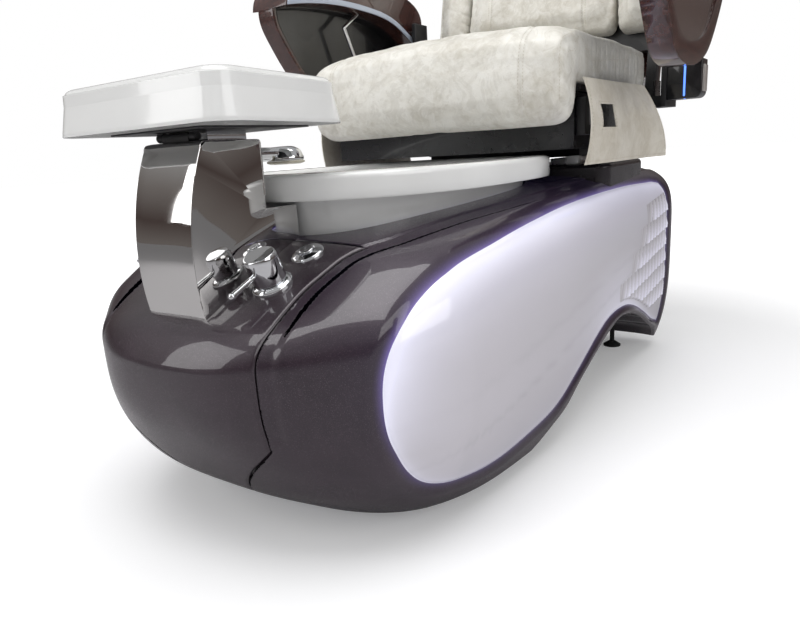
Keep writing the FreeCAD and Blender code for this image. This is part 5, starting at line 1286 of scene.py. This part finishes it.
section = [(s * half_w, -0.0004 * (1 - s * s)) for s in np.linspace(-1, 1, 13)]
outline = ([(-half_w, 0.0014), (-half_w + 0.0002, 0.0005)] + section[1:-1]
           + [(half_w - 0.0002, 0.0005), (half_w, 0.0014)]
           + [(half_w - 0.0004, sheet_t), (0, sheet_t), (-half_w + 0.0004, sheet_t)])
outline = [(x, d + 0.0004) for x, d in outline]
rings = [np.array([(x, *(p + n * d)) for x, d in outline]) for p, n in zip(line, side_way)]
capped("tower_strip", rings, mirror_steel, "base", ["tower_front_strip"], 35)

# %% [markdown]
# ## Hand sprayer, tap and button
#
# These are turned pieces, so each is a short profile of radius and height. Polished plating shows every
# kink, and small arcs go into the corners of the profiles before they are turned.

# %% Hand sprayer
SPRAYER_Z, HEAD_Y = 0.545, -0.462
lathed("sprayer_stem", [(0.1, 0), (10.5, 0), (10.5, 60), (9.8, 85), (10.5, 100), (10.5, 112), (0.1, 114)],
       3, 5, upright(0, -0.576, SPRAYER_Z, -90), chrome, "sprayer", ["sprayer_head"])
lathed("sprayer_dome", [(0.1, -10.8), (27.9, -10.8), (28, -5.5), (23.5, 5.8), (12.6, 10.8), (0.1, 11)],
       6, 8, Matrix.Translation((0, HEAD_Y, SPRAYER_Z)), chrome, "sprayer")
disc = Matrix.Translation((0, HEAD_Y, SPRAYER_Z - 0.011))
lathed("sprayer_disc", [(0.1, -5), (22.4, -5), (28.6, -3.2), (29.1, -2.2), (29.1, -0.1), (0.1, -0.1)],
       0.8, 3, disc, cream_plastic, "sprayer", ["sprayer_face"])
lathed("sprayer_sleeve", [(10.55, -11), (11.2, -11), (11.2, 0), (15, 0), (14.8, 2.2), (13, 8.8),
                          (10.55, 8.8), (10.55, -11)],
       0.8, 4, upright(0, TOWER_REAR, SPRAYER_Z, -90), chrome, "base", ["sprayer_holder"])


# %% Tap on the sloping hood
def hood(x, y, z):
    """A place on the nose's hood, whose Z axis stands square to its slope."""
    return Matrix.Translation((x, y, z)) @ Matrix.Rotation(math.radians(24), 4, "X")


TAPS_Y, TAPS_Z = -0.617, 0.376
tap = hood(0.105, TAPS_Y, TAPS_Z)
lathed("tap_foot", [(29, -4), (29, 3), (25.5, 6), (20.7, 8), (6, 8), (6, 28), (0.1, 28)],
       1.2, 4, tap, chrome, "base", ["mixer_flange"])
lathed("tap_cap", [(6.6, 8.4), (22.6, 8.4), (23, 9.2), (23, 42.5), (21.2, 47.8), (10, 48.4), (0.1, 48.6)],
       2.2, 6, tap, chrome, "cap", ["mixer_cap"])
lever_at = tap @ Matrix.Translation((0, -0.01265, 0.0269)) @ Matrix.Rotation(math.radians(90), 4, "X")
knob_end = [(0.0048 * math.cos(a), 0.052 + 0.0048 * math.sin(a)) for a in np.linspace(-0.5, 1.5, 8)]
turned("tap_lever", [(0.0001, 0.0), (0.0042, 0.0), (0.0042, 0.006), (0.0038, 0.012), (0.0038, 0.040),
                     (0.0043, 0.0475)] + knob_end + [(0.0001, 0.0568)],
       lever_at, chrome, "lever", ["mixer_lever"])

# %% Second knob and the push button
second = hood(-0.140, TAPS_Y, TAPS_Z)
lathed("diverter_foot", [(23, -4), (23, 3), (20.5, 5.2), (16.5, 6), (6, 6), (6, 20), (0.1, 20)],
       1.2, 4, second, chrome, "base", ["diverter_base"])
lathed("diverter_cap", [(6.6, 6.4), (16.6, 6.4), (17, 7.4), (14.6, 32.5), (0.1, 34)],
       2, 5, second, chrome, "diverter", ["diverter_knob"])
GRIP_HEIGHT = 0.0368
GRIP = [(-0.0194, 0.0028), (-0.0188, 0.0036), (-0.012, 0.0042), (0, 0.0042), (0.012, 0.0042),
        (0.0188, 0.0036), (0.0194, 0.0028)]
rings = [[second @ Vector((wide * math.cos(t), reach, GRIP_HEIGHT + wide * 0.98 * math.sin(t)))
          for t in around(24)] for reach, wide in GRIP]
capped("diverter_grip", rings, chrome, "diverter")
press = hood(0.109, -0.548, 0.407)
lathed("button_ring", [(13.6, -4), (24, -4), (24, 1.2), (21.6, 3.6), (13, 6), (11.15, 4.2), (11.15, -4),
                       (13.6, -4)], 1, 4, press, chrome, "base", ["button_flange_ring"])
lathed("button_cap", [(0.1, 4), (10.9, 4), (11, 8), (9.2, 9), (0.1, 8.1)],
       0.8, 4, press, chrome, "button", ["pump_button"])

# %% [markdown]
# ## Rigid parts with softened edges
#
# Brackets, boxes, the seat's frame and the armrest mouldings already have the right shape in the solid
# model, but its edges are knife-sharp. Real mouldings and bent metal have a small radius that catches
# the light. Each is copied, its loose triangles are merged into clean faces, and a Bevel modifier
# rounds the edges.

# %% Copy a solid and round its edges
def softened(node, paint, body, width):
    """A copy of a node's solid whose edges are rounded by width."""
    work = bmesh.new()
    work.from_mesh(nodes[node].data)
    bmesh.ops.remove_doubles(work, verts=work.verts, dist=2e-5)
    bmesh.ops.dissolve_limit(work, angle_limit=math.radians(0.6), verts=work.verts, edges=work.edges)
    mesh = bpy.data.meshes.new(node + "_soft")
    work.to_mesh(mesh)
    work.free()
    mesh.materials.clear()
    mesh.materials.append(paint)
    thing = placed(mesh)
    bevel = thing.modifiers.new("round", "BEVEL")
    bevel.width = width
    bevel.segments = 3
    bevel.limit_method = "ANGLE"
    bevel.angle_limit = math.radians(35)
    bevel.miter_outer = "MITER_ARC"
    bevel.use_clamp_overlap = True
    applied(thing)
    all_smooth(thing.data)
    thing.data.set_sharp_from_angle(angle=math.radians(40))
    return settle(thing, body, [node])


SOFTENED = [
    ("tower_plates", mirror_steel, "base", 0.0005), ("footrest_channel", chrome, "base", 0.0005),
    ("hinge_block", black_satin, "base", 0.0010), ("jet_motor", black_satin, "base", 0.0010),
    ("chassis", black_metal, "base", 0.0015), ("rear_door", plum_plain, "base", 0.0008),
    ("seat_tracks", zinc_steel, "base", 0.0008), ("track_stops", white_gloss, "base", 0.0018),
    ("footrest_plate", black_metal, "footrest", 0.0006),
    ("seat_carriage", black_metal, "seat", 0.0008), ("seat_frame", apron_black, "seat", 0.0020),
    ("arm_bracket_right", black_satin, "seat", 0.0020), ("arm_bracket_left", black_satin, "seat", 0.0020),
    ("side_boxes", black_gloss, "seat", 0.0045), ("switch_box", black_satin, "seat", 0.0020),
    ("back_frame", black_metal, "back", 0.0012), ("back_shell", brown, "back", 0.0020),
]
for hand in ("right", "left"):
    SOFTENED += [("arm_" + part + "_" + hand, paint, "arm_" + hand, width) for part, paint, width in
                 (("shell", brown, 0.0050), ("inlay", brown_pale, 0.0012), ("liner", black_gloss, 0.0008),
                  ("trim", pale_trim, 0.0010), ("link", chrome, 0.0006))]
softs = {}
for row in SOFTENED:
    softs[row[0]] = softened(*row)
print("softened", len(softs), "faces", sum(len(thing.data.polygons) for thing in softs.values()))


# %% Pale cover and light line of the side boxes
def paint_where(thing, paint, rule):
    """A second finish on the faces whose middle passes the rule."""
    thing.data.materials.append(paint)
    for face in thing.data.polygons:
        if rule(face.center):
            face.material_index = len(thing.data.materials) - 1


SIDES = ((1, "right"), (-1, "left"))
COVER_X, LIGHT_X = 0.4162, 0.3805
LIGHT_PATH = [(0.4315, 0.700), (0.4313, 0.66), (0.4313, 0.634), (0.4323, 0.624), (0.436, 0.618),
              (0.442, 0.6162)]
paint_where(softs["side_boxes"], box_cover, lambda c: abs(c.x) > COVER_X)
for side, word in SIDES:
    rings = []
    for y, z in LIGHT_PATH:
        rings.append([(side * (LIGHT_X + 0.0022 * math.cos(a)), y + 0.0012 * math.sin(a) - 0.0004, z)
                      for a in around(12)])
    capped("side_light_" + word, rings, light_line, "seat")

# %% Small pieces that keep their solid and get a finish
for node, paint in (("door_screws", zinc_steel), ("levelling_feet", rubber),
                    ("jet_impeller", grey_plastic)):
    nodes[node].data.materials.clear()
    nodes[node].data.materials.append(paint)

# %% [markdown]
# ## Footrest pad
#
# The pad is a glossy white moulding, broader at the front. One outline is a trapezium with round
# corners, and the rings between bottom and top are that outline shrunk step by step. The top is crowned
# by a millimetre and a half, as a moulded skin is, so the highlight on it has a soft edge.


# %% Footrest pad
def pad_outline(shrink, z, steps=12):
    """A trapezium with rounded corners, moved inward by shrink."""
    front_y, rear_y, front_w, rear_w = -0.730, -0.466, 0.174, 0.134
    front_corner, rear_corner = 0.0342, 0.038
    slant = (front_w - rear_w) / (rear_y - front_y)
    grow = math.hypot(1, slant)
    y0, y1 = front_y + shrink, rear_y - shrink
    w0 = front_w - slant * (y0 - front_y) - shrink * grow
    w1 = front_w - slant * (y1 - front_y) - shrink * grow
    corners = [Vector((w0, y0)), Vector((w1, y1)), Vector((-w1, y1)), Vector((-w0, y0))]
    ring = []
    for k in range(4):
        here, before, after = corners[k], corners[k - 1], corners[(k + 1) % 4]
        back, on = (before - here).normalized(), (after - here).normalized()
        half = math.acos(max(-1, min(1, back.dot(on)))) / 2
        radius = max((front_corner if k in (0, 3) else rear_corner) - shrink * 0.6, 0.006)
        centre = here + (back + on).normalized() * radius / math.sin(half)
        start = here + back * radius / math.tan(half) - centre
        end = here + on * radius / math.tan(half) - centre
        s, e = math.atan2(start.y, start.x), math.atan2(end.y, end.x)
        e += 2 * math.pi * round((s - e) / (2 * math.pi))
        ring += [(centre.x + radius * math.cos(s + (e - s) * t / steps),
                  centre.y + radius * math.sin(s + (e - s) * t / steps), z) for t in range(steps + 1)]
    return np.array(ring)


# The skin turns in at the foot, so its first rings are the inside.
profile = [(0.10, 0.6378), (0.06, 0.6378), (0.016, 0.6376), (0.0075, 0.634), (0.0055, 0.60),
           (0.005, 0.5822), (0.0044, 0.5811), (0.0008, 0.5811), (0.0002, 0.582)]
profile += [(0.009 * t, 0.582 + 0.050 * t) for t in np.linspace(0.1, 1, 5)]
profile += [(0.009 + 0.0105 * (1 - math.cos(a)), 0.632 + 0.0095 * math.sin(a)) for a in quarter(0.2, 8)]
profile += [(0.028, 0.6419), (0.045, 0.6424), (0.07, 0.6428), (0.10, 0.643), (0.125, 0.643)]
rings = [pad_outline(shrink, z) for shrink, z in profile]
capped("footrest_moulding", rings, white_gloss, "footrest", ["footrest_pad"])

# %% [markdown]
# ## Upholstery
#
# Foam under leather swells between its seams. Each cushion starts as a slightly small closed form, is
# remeshed to even squares and is blown up a little as cloth, which rounds it. What the cloth draws in is
# mostly put back, and the sides stay full. Seams come afterwards: a seam is a groove along a line, with
# rows of stitches beside it.


# %% Blow up a closed form
def closed_form(name, rings, paint):
    points, faces = rings_to_mesh(rings, cap_start=True, cap_end=True)
    mesh = plain_mesh(name, points, faces, paint)
    outward(mesh)
    return placed(mesh)


def read_points(mesh, what="co"):
    """The place or the normal of each point."""
    flat = np.empty(len(mesh.vertices) * 3)
    mesh.vertices.foreach_get(what, flat)
    return flat.reshape(-1, 3)


INWARD_TAKEN_BACK = 0.85


def puffed(thing, voxel, cap, pressure):
    """Even squares, then twenty steps as cloth under pressure, no point moving further than cap."""
    remesh = thing.modifiers.new("even", "REMESH")
    remesh.mode, remesh.voxel_size = "VOXEL", voxel
    applied(thing)
    start, outwards = read_points(thing.data), read_points(thing.data, "normal")
    cloth = thing.modifiers.new("cover", "CLOTH")
    rules = cloth.settings
    rules.use_pressure, rules.uniform_pressure_force = True, pressure
    rules.quality, rules.mass = 4, 0.3
    rules.tension_stiffness = rules.compression_stiffness = 12
    rules.bending_stiffness = 1.5
    rules.effector_weights.gravity = 0
    cloth.point_cache.frame_start, cloth.point_cache.frame_end = 1, 20
    for step in range(1, 21):
        bpy.context.scene.frame_set(step)
    applied(thing)
    move = read_points(thing.data) - start
    rise = np.sum(move * outwards, axis=1, keepdims=True)
    move = move - outwards * np.minimum(rise, 0) * INWARD_TAKEN_BACK
    length = np.linalg.norm(move, axis=1, keepdims=True)
    end = start + move * np.minimum(1, cap / np.maximum(length, 1e-9))
    thing.data.vertices.foreach_set("co", end.ravel())
    bpy.context.scene.frame_set(1)
    print(thing.name, "swelled by up to", round(float(length.max()) * 1000, 1), "mm")
    finer = thing.modifiers.new("finer", "SUBSURF")
    finer.levels = finer.render_levels = 1
    applied(thing)
    all_smooth(thing.data)


def shaped(thing, rule):
    """Moves each point along its own normal by rule(points, normals), in metres."""
    spots, normals = read_points(thing.data), read_points(thing.data, "normal")
    spots = spots + normals * rule(spots, normals)[:, None]
    thing.data.vertices.foreach_set("co", spots.ravel())
    thing.data.update()


def groove(gap, depth, width):
    return -depth * np.exp(-(gap / width) ** 2)


# %% Stitches along a line
def stitch_tree():
    """Geometry nodes: a small rounded stitch every few millimetres along a line."""
    tree = bpy.data.node_groups.new("stitches", "GeometryNodeTree")
    tree.interface.new_socket("Geometry", in_out="INPUT", socket_type="NodeSocketGeometry")
    for label in ("Pitch", "Length", "Thickness"):
        tree.interface.new_socket(label, in_out="INPUT", socket_type="NodeSocketFloat")
    tree.interface.new_socket("Thread", in_out="INPUT", socket_type="NodeSocketMaterial")
    tree.interface.new_socket("Geometry", in_out="OUTPUT", socket_type="NodeSocketGeometry")
    parts = {word: tree.nodes.new(kind) for word, kind in (
        ("start", "NodeGroupInput"), ("curve", "GeometryNodeMeshToCurve"),
        ("even", "GeometryNodeResampleCurve"), ("ball", "GeometryNodeMeshUVSphere"),
        ("tangent", "GeometryNodeInputTangent"),
        ("align", "FunctionNodeAlignEulerToVector"), ("size", "ShaderNodeCombineXYZ"),
        ("copies", "GeometryNodeInstanceOnPoints"), ("real", "GeometryNodeRealizeInstances"),
        ("paint", "GeometryNodeSetMaterial"), ("end", "NodeGroupOutput"))}
    parts["even"].mode = "LENGTH"
    parts["align"].axis = "X"
    for socket, value in (("Segments", 6), ("Rings", 5), ("Radius", 0.5)):
        parts["ball"].inputs[socket].default_value = value
    for source, output, target, entry in (
            ("start", "Geometry", "curve", "Mesh"), ("curve", "Curve", "even", "Curve"),
            ("start", "Pitch", "even", "Length"), ("even", "Curve", "copies", "Points"),
            ("ball", "Mesh", "copies", "Instance"), ("tangent", "Tangent", "align", "Vector"),
            ("align", "Rotation", "copies", "Rotation"), ("start", "Length", "size", "X"),
            ("start", "Thickness", "size", "Y"), ("start", "Thickness", "size", "Z"),
            ("size", "Vector", "copies", "Scale"), ("copies", "Instances", "real", "Geometry"),
            ("real", "Geometry", "paint", "Geometry"), ("start", "Thread", "paint", "Material"),
            ("paint", "Geometry", "end", "Geometry")):
        tree.links.new(parts[source].outputs[output], parts[target].inputs[entry])
    return tree


stitches = stitch_tree()


STITCH = {"Pitch": 0.006, "Length": 0.0042, "Thickness": 0.0009, "Thread": thread}


def sewn(name, lines, body):
    """Rows of stitches along several lines of points, as one piece."""
    points, edges = [], []
    for line in lines:
        first = len(points)
        points += [tuple(map(float, p)) for p in line]
        edges += [(first + k, first + k + 1) for k in range(len(line) - 1)]
    mesh = bpy.data.meshes.new(name)
    mesh.from_pydata(points, edges, [])
    thing = placed(mesh)
    rows = thing.modifiers.new("rows", "NODES")
    rows.node_group = stitches
    for socket in stitches.interface.items_tree:
        if socket.in_out == "INPUT" and socket.name in STITCH:
            rows[socket.identifier] = STITCH[socket.name]
    applied(thing)
    all_smooth(thing.data)
    print(name, len(thing.data.polygons), "faces")
    settle(thing, body)


def on_surface(thing, starts, aims, lift=0.0002):
    """Where rays from starts towards aims meet the piece, a hair above it."""
    work = bmesh.new()
    work.from_mesh(thing.data)
    shape = BVHTree.FromBMesh(work)
    hits = []
    for start, aim in zip(starts, aims):
        hit, normal, _, _ = shape.ray_cast(Vector(start), (Vector(aim) - Vector(start)).normalized())
        if hit is not None:
            hits.append(hit + normal * lift)
    work.free()
    return hits


# %% Seat cushion
SEAT_HALF, SEAM_PLACES, SEAM_STEP = 0.303, (0.214, -0.229), 0.0045
SEAT = [(-0.0715, 0.950, 0.610, 0.684), (-0.0665, 0.975, 0.593, 0.706), (-0.0515, 0.992, 0.576, 0.7235),
        (-0.0245, 1.0, 0.566, 0.733), (-0.015, 1.0, 0.5695, 0.735), (-0.003, 1.0, 0.583, 0.735),
        (0.002, 1.0, 0.6395, 0.735), (0.240, 0.992, 0.6395, 0.735), (0.458, 0.98, 0.6395, 0.7315),
        (0.478, 0.955, 0.650, 0.715)]


def cushion_ring(half, low, high, y, crown, pinch, corner_share=0.26, steps=10):
    """An upright section: crowned top, sides that draw in, rounded corners."""
    corner = (high - low) * corner_share
    far, bottom, top = half - corner, low + corner, high - corner

    def arc(cx, cz, start):
        turn = np.radians(np.linspace(start, start + 90, steps))
        return [(cx + corner * math.cos(a), y, cz + corner * math.sin(a)) for a in turn]

    ring = [(x, y, low) for x in np.linspace(-far, far, 16)] + arc(far, bottom, -90) + arc(far, top, 0)
    ring += [(x, y, high + crown * (1 - (x / far) ** 2)) for x in np.linspace(far, -far, 24)]
    ring += arc(-far, top, 90) + arc(-far, bottom, 180)
    ring = np.array(ring)
    level = np.clip((ring[:, 2] - low) / (high - low), 0, 1)
    on_side = np.abs(ring[:, 0]) > half - corner * 0.9
    ring[:, 0] -= np.sign(ring[:, 0]) * pinch * np.sin(np.pi * level) * on_side
    return ring


shrink = 0.0015
rings = []
for y, share, low, high in SEAT:
    middle = (low + high) / 2
    y = y + shrink if y < 0.2 else y - shrink
    rings.append(cushion_ring(SEAT_HALF * share - shrink, low + shrink * 0.5, high - shrink, y,
                              0.014 * (1 - 3 * (0.735 - high) / 0.169), 0.006))
seat = closed_form("seat_cushion_cover", rings, leather)
puffed(seat, 0.0070, 0.008, 4.0)


def seat_half(y):
    return SEAT_HALF * np.interp(y, [s[0] for s in SEAT], [s[1] for s in SEAT])


def seat_seams(p, n):
    """Seams across the top and front, the corner seams and the gathers along the sides."""
    x, y, z = p.T
    seen = ease((z - 0.575) / 0.012)
    low = sum(groove(x - place, 0.0034, 0.0036) for place in SEAM_PLACES) * seen * (np.abs(n[:, 0]) < 0.7)
    edge = np.abs(x) - (seat_half(y) - 0.010)
    low = low + groove(edge, 0.0045, 0.0042) * seen
    side_way = np.clip((np.abs(n[:, 0]) - 0.6) / 0.3, 0, 1)
    height = np.clip((z - 0.645) / 0.08, 0, 1)
    fold = np.zeros(len(p))
    for k in range(14):
        place = 0.10 + 0.026 * k + 0.007 * math.sin(5.1 * k)
        lean = 0.12 * math.sin(1.7 * k)
        reach = 0.6 + 0.4 * math.sin(2.3 * k + 1)
        wide = 0.0045 + 0.0015 * math.cos(3.1 * k)
        fold += reach * np.exp(-((y - place - lean * (z - 0.69)) / wide) ** 2)
    low = low - 0.0034 * fold * side_way * np.sin(np.pi * height) ** 0.6
    soft = 0.0016 * np.sin(31 * x + 2.2 * np.sin(9 * y)) * np.sin(26 * y + 1.3 * np.sin(17 * x))
    return low + soft * np.clip(n[:, 2], 0, 1)


shaped(seat, seat_seams)
settle(seat, "seat", ["seat_cushion"])


# %% Seams of the seat
def seat_line(offset_rule):
    """A line over the top and down the front at x given by the rule of y."""
    over, inside = 0.85, 0.60
    starts = [(offset_rule(y), y, over) for y in np.linspace(0.46, 0.0, 60)]
    aims = [(x, y, inside) for x, y, z in starts]
    front_x, bend_z, away = offset_rule(-0.06), 0.655, 0.3
    for a in np.radians(np.linspace(90, 215, 46)):
        starts.append((front_x, away * math.cos(a), bend_z + away * math.sin(a)))
        aims.append((front_x, 0.0, bend_z))
    return on_surface(seat, starts, aims)


rows = [seat_line(lambda y, s=side, d=place: s * (float(seat_half(y)) - d))
        for side in (1, -1) for place in (0.0055, 0.0145)]
rows += [seat_line(lambda y, x=place + step: x) for place in SEAM_PLACES for step in (-SEAM_STEP, SEAM_STEP)]
sewn("seat_stitches", rows, "seat")


# %% [markdown]
# ## Leather flaps
#
# A flap hangs from the cushion's lower seam on each side and covers the seat's runner. It stands away
# from the frame in the middle, and its lower edge swings out to the rear in a shallow wave. The flap on
# the side that shows has a small window with drawn-in sides, through which the switch box is reached.

# %% Side flaps
FLAP_START, FLAP_TOP, FLAP_LOW, FLAP_FRONT, FLAP_LENGTH = 0.3048, 0.648, 0.494, -0.008, 0.360
SWING, FLARE, WAVE, BULGE, HIDE = 0.060, 0.044, 0.007, 0.014, 0.0022
WINDOW_Y, WINDOW_Z, TINY = (0.038, 0.100), (0.602, 0.560), 1e-5
HEM, STITCH_REAR, WINDOW_EDGE = 0.006, 0.347, 0.004


def flap_spot(y, z, out=0.0):
    """A point of the right flap from its place along the cushion and its height."""
    v = (FLAP_TOP - z) / (FLAP_TOP - FLAP_LOW)
    u = (y - FLAP_FRONT) / FLAP_LENGTH
    top = FLARE * 0.15 * u ** 1.5
    low = FLARE * (0.1 + 0.9 * u ** 1.5) + WAVE * math.sin(2 * math.pi * u)
    x = top * (1 - v) * (1 - 2 * v) + ((top + low) / 2 + BULGE) * 4 * v * (1 - v) + low * v * (2 * v - 1)
    x += 0.0009 * math.sin(23 * u + 1.2 * math.sin(9 * u)) * math.sin(math.pi * min(1, 1.6 * v))
    middle = max(0.0, 1 - ((z - sum(WINDOW_Z) / 2) / 0.021) ** 2)
    pull = sum(way * 0.0045 * math.exp(-((y - side) / 0.009) ** 2) for side, way in zip(WINDOW_Y, (1, -1)))
    return (FLAP_START + x + out, y + SWING * v * u + pull * middle, z)


def flap(side, word, window):
    across = np.concatenate([np.linspace(FLAP_FRONT, WINDOW_Y[0], 14)[:-1], np.linspace(*WINDOW_Y, 19)[:-1],
                             np.linspace(WINDOW_Y[1], FLAP_FRONT + FLAP_LENGTH, 70)])
    down = np.concatenate([np.linspace(FLAP_TOP, WINDOW_Z[0], 14)[:-1], np.linspace(*WINDOW_Z, 14)[:-1],
                           np.linspace(WINDOW_Z[1], FLAP_LOW, 20)])
    count, points, faces = len(across), [], []
    for out in (HIDE, 0.0):
        points += [flap_spot(y, z, out) for z in down for y in across]
    layer = count * len(down)
    in_y = (across > WINDOW_Y[0] - TINY) & (across < WINDOW_Y[1] - TINY)
    in_z = (down > WINDOW_Z[1] + TINY) & (down < WINDOW_Z[0] + TINY)
    kept = {(j, k) for k in range(len(down) - 1) for j in range(count - 1)
            if not (window and in_y[j] and in_z[k])}
    for j, k in sorted(kept):
        a = k * count + j
        loop = [a, a + 1, a + count + 1, a + count]
        faces.append(loop)
        faces.append([v + layer for v in reversed(loop)])
        neighbours = ((j, k - 1), (j + 1, k), (j, k + 1), (j - 1, k))
        for corner, near in enumerate(neighbours):
            if near not in kept:
                p, q = loop[corner], loop[(corner + 1) % 4]
                faces.append([q, p, p + layer, q + layer])
    points = [(side * x, y, z) for x, y, z in points]
    thing = piece("side_flap_cover_" + word, points, faces, flap_leather, "seat", ["side_flap_" + word])
    closed(thing, 60)
    lift = HIDE + 0.0003
    hem_front, hem_z = FLAP_FRONT + 0.005, FLAP_LOW + HEM
    lines = [[flap_spot(y, hem_z, lift) for y in np.linspace(hem_front, STITCH_REAR, 60)]]
    lines += [[flap_spot(y, z, lift) for z in np.linspace(FLAP_TOP - 0.004, hem_z, 30)]
              for y in (hem_front, STITCH_REAR)]
    if window:
        low, high = WINDOW_Z[1] - WINDOW_EDGE, WINDOW_Z[0] + WINDOW_EDGE
        front, rear = WINDOW_Y[0] - WINDOW_EDGE, WINDOW_Y[1] + WINDOW_EDGE
        lines += [[flap_spot(y, z, lift) for y in np.linspace(front, rear, 20)] for z in (low, high)]
        lines += [[flap_spot(y, z, lift) for z in np.linspace(low, high, 14)] for y in (front, rear)]
    sewn("flap_stitches_" + word, [[(side * x, y, z) for x, y, z in line] for line in lines], "seat")


for side, word in SIDES:
    flap(side, word, window=word == "right")

# %% Switch box behind the window
box_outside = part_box("switch_box")[1][0]
RIBS, RIB_FIRST, RIB_STEP = 6, 0.047, 0.0085
ribs, rib_faces = [], []
for k in range(RIBS):
    y = RIB_FIRST + RIB_STEP * k
    first = len(ribs)
    ribs += [(box_outside + dx, y + dy, z) for z in (0.566, 0.598) for dx, dy in
             ((-0.0002, -0.0014), (0.0007, -0.0008), (0.0007, 0.0008), (-0.0002, 0.0014))]
    rib_faces += [[first + v for v in face] for face in (
        (0, 1, 5, 4), (1, 2, 6, 5), (2, 3, 7, 6), (0, 1, 2, 3), (4, 5, 6, 7), (3, 0, 4, 7))]
# The ribs are grey against the black box: a painted highlight for the light lines along them.
closed(piece("switch_ribs", ribs, rib_faces, grey_plastic, "seat"), 30)

# %% [markdown]
# ## Backrest
#
# The backrest leans back about the pivot behind the seat. Its middle cushion, the two wings and the head
# pillow are made upright, in the backrest's own axes, and are leaned at the end.

# %% Back cushion, wings and pillow
PIVOT, LEAN = (0, 0.528, 0.65), -12
BACK = Matrix.Translation(PIVOT) @ Matrix.Rotation(math.radians(LEAN), 4, "X")
BACK_SEAMS, BACK_REAR = (0.128, -0.128), -0.0134


def back_form(name, half, thick, low, high, rear, crown, pinch, centre=0.0, trim=0.0015):
    """Closed form of an upright cushion, a little smaller than it will be once it is blown up."""
    trim = trim
    ends = [(0.0, 0.93, 0.36), (0.10, 0.965, 0.20), (0.35, 0.99, 0.07), (0.8, 1.0, 0.0)]
    share = thick / (high - low)
    levels = [(s * share, w, lost) for s, w, lost in ends] + [(0.5, 1.0, 0.0)]
    levels += [(1 - s * share, w, lost) for s, w, lost in reversed(ends)]
    rings = []
    for place, width_share, lost in levels:
        ring = cushion_ring(half * width_share - trim, trim * 0.5, thick * (1 - lost) - trim, 0,
                            crown * (1 - lost), pinch)
        height = low + trim + (high - low - 2 * trim) * place
        rings.append(np.stack([centre + ring[:, 0], rear - ring[:, 2], np.full(len(ring), height)], -1))
    return closed_form(name, rings, leather)


def back_seams(lines, gathers=0.0):
    """Grooves at the given widths, and a soft unevenness all over."""
    def rule(p, n):
        x, y, z = p.T
        low = sum((groove(x - place, 0.0032, 0.0038) for place in lines), np.zeros(len(p)))
        low = low * np.clip(-n[:, 1] * 2, 0, 1)
        soft = 0.0014 * np.sin(27 * x + 2.0 * np.sin(8 * z)) * np.sin(23 * z + 1.4 * np.sin(15 * x))
        side_way = np.clip((np.abs(n[:, 0]) - 0.5) / 0.3, 0, 1)
        folds = np.sin(z * 190 + 3 * np.sin(z * 31))
        return low + soft * np.clip(-n[:, 1], 0, 1) - gathers * side_way * np.clip(folds, 0, 1)
    return rule


def lean(thing, stands_for):
    """Leans a finished piece back about the pivot."""
    thing.data.transform(BACK)
    return settle(thing, "back", stands_for)


back = back_form("back_cushion_cover", 0.206, 0.060, 0.131, 0.760, BACK_REAR, 0.012, 0.005)
puffed(back, 0.0062, 0.010, 5.0)
shaped(back, back_seams(BACK_SEAMS, 0.0012))
lean(back, ["back_cushion"])

for side, word in SIDES:
    wing = back_form("back_wing_cover_" + word, 0.038, 0.082, 0.131, 0.737, BACK_REAR, 0.008, 0.003,
                     centre=side * 0.2448, trim=0.001)
    puffed(wing, 0.0050, 0.007, 5.0)
    shaped(wing, back_seams([], 0.0014))
    lean(wing, ["back_wing_" + word])

pillow = back_form("head_pillow_cover", 0.150, 0.044, 0.590, 0.749, -0.0862, 0.008, 0.004, trim=0.001)
puffed(pillow, 0.0045, 0.008, 5.0)
shaped(pillow, back_seams([0.118, -0.118], 0.0010))
lean(pillow, ["head_pillow"])


# %% Stitches and piping of the backrest
def back_line(x, low, high, cover, ahead=0.30):
    heights = np.linspace(low, high, 90)
    starts = [BACK @ Vector((x, -ahead, z)) for z in heights]
    aims = [BACK @ Vector((x, 0.0, z)) for z in heights]
    return on_surface(cover, starts, aims)


rows = [back_line(place + step, 0.150, 0.585, back)
        for place in BACK_SEAMS for step in (-SEAM_STEP, SEAM_STEP)]
rows += [back_line(side * 0.196, 0.150, 0.735, back) for side in (1, -1)]
sewn("back_stitches", [row for row in rows if len(row) > 3], "back")


def piping(name, side):
    """A welt along the outer front edge of a wing."""
    rings = []
    for z in np.linspace(0.150, 0.716, 60):
        middle = BACK @ Vector((side * 0.2785, BACK_REAR - 0.0700, z))
        rings.append([middle + BACK.to_3x3() @ Vector((0.0032 * math.cos(a), 0.0032 * math.sin(a), 0))
                      for a in around(12)])
    capped(name, rings, leather, "back", crisp=60)


for side, word in SIDES:
    piping("wing_piping_" + word, side)
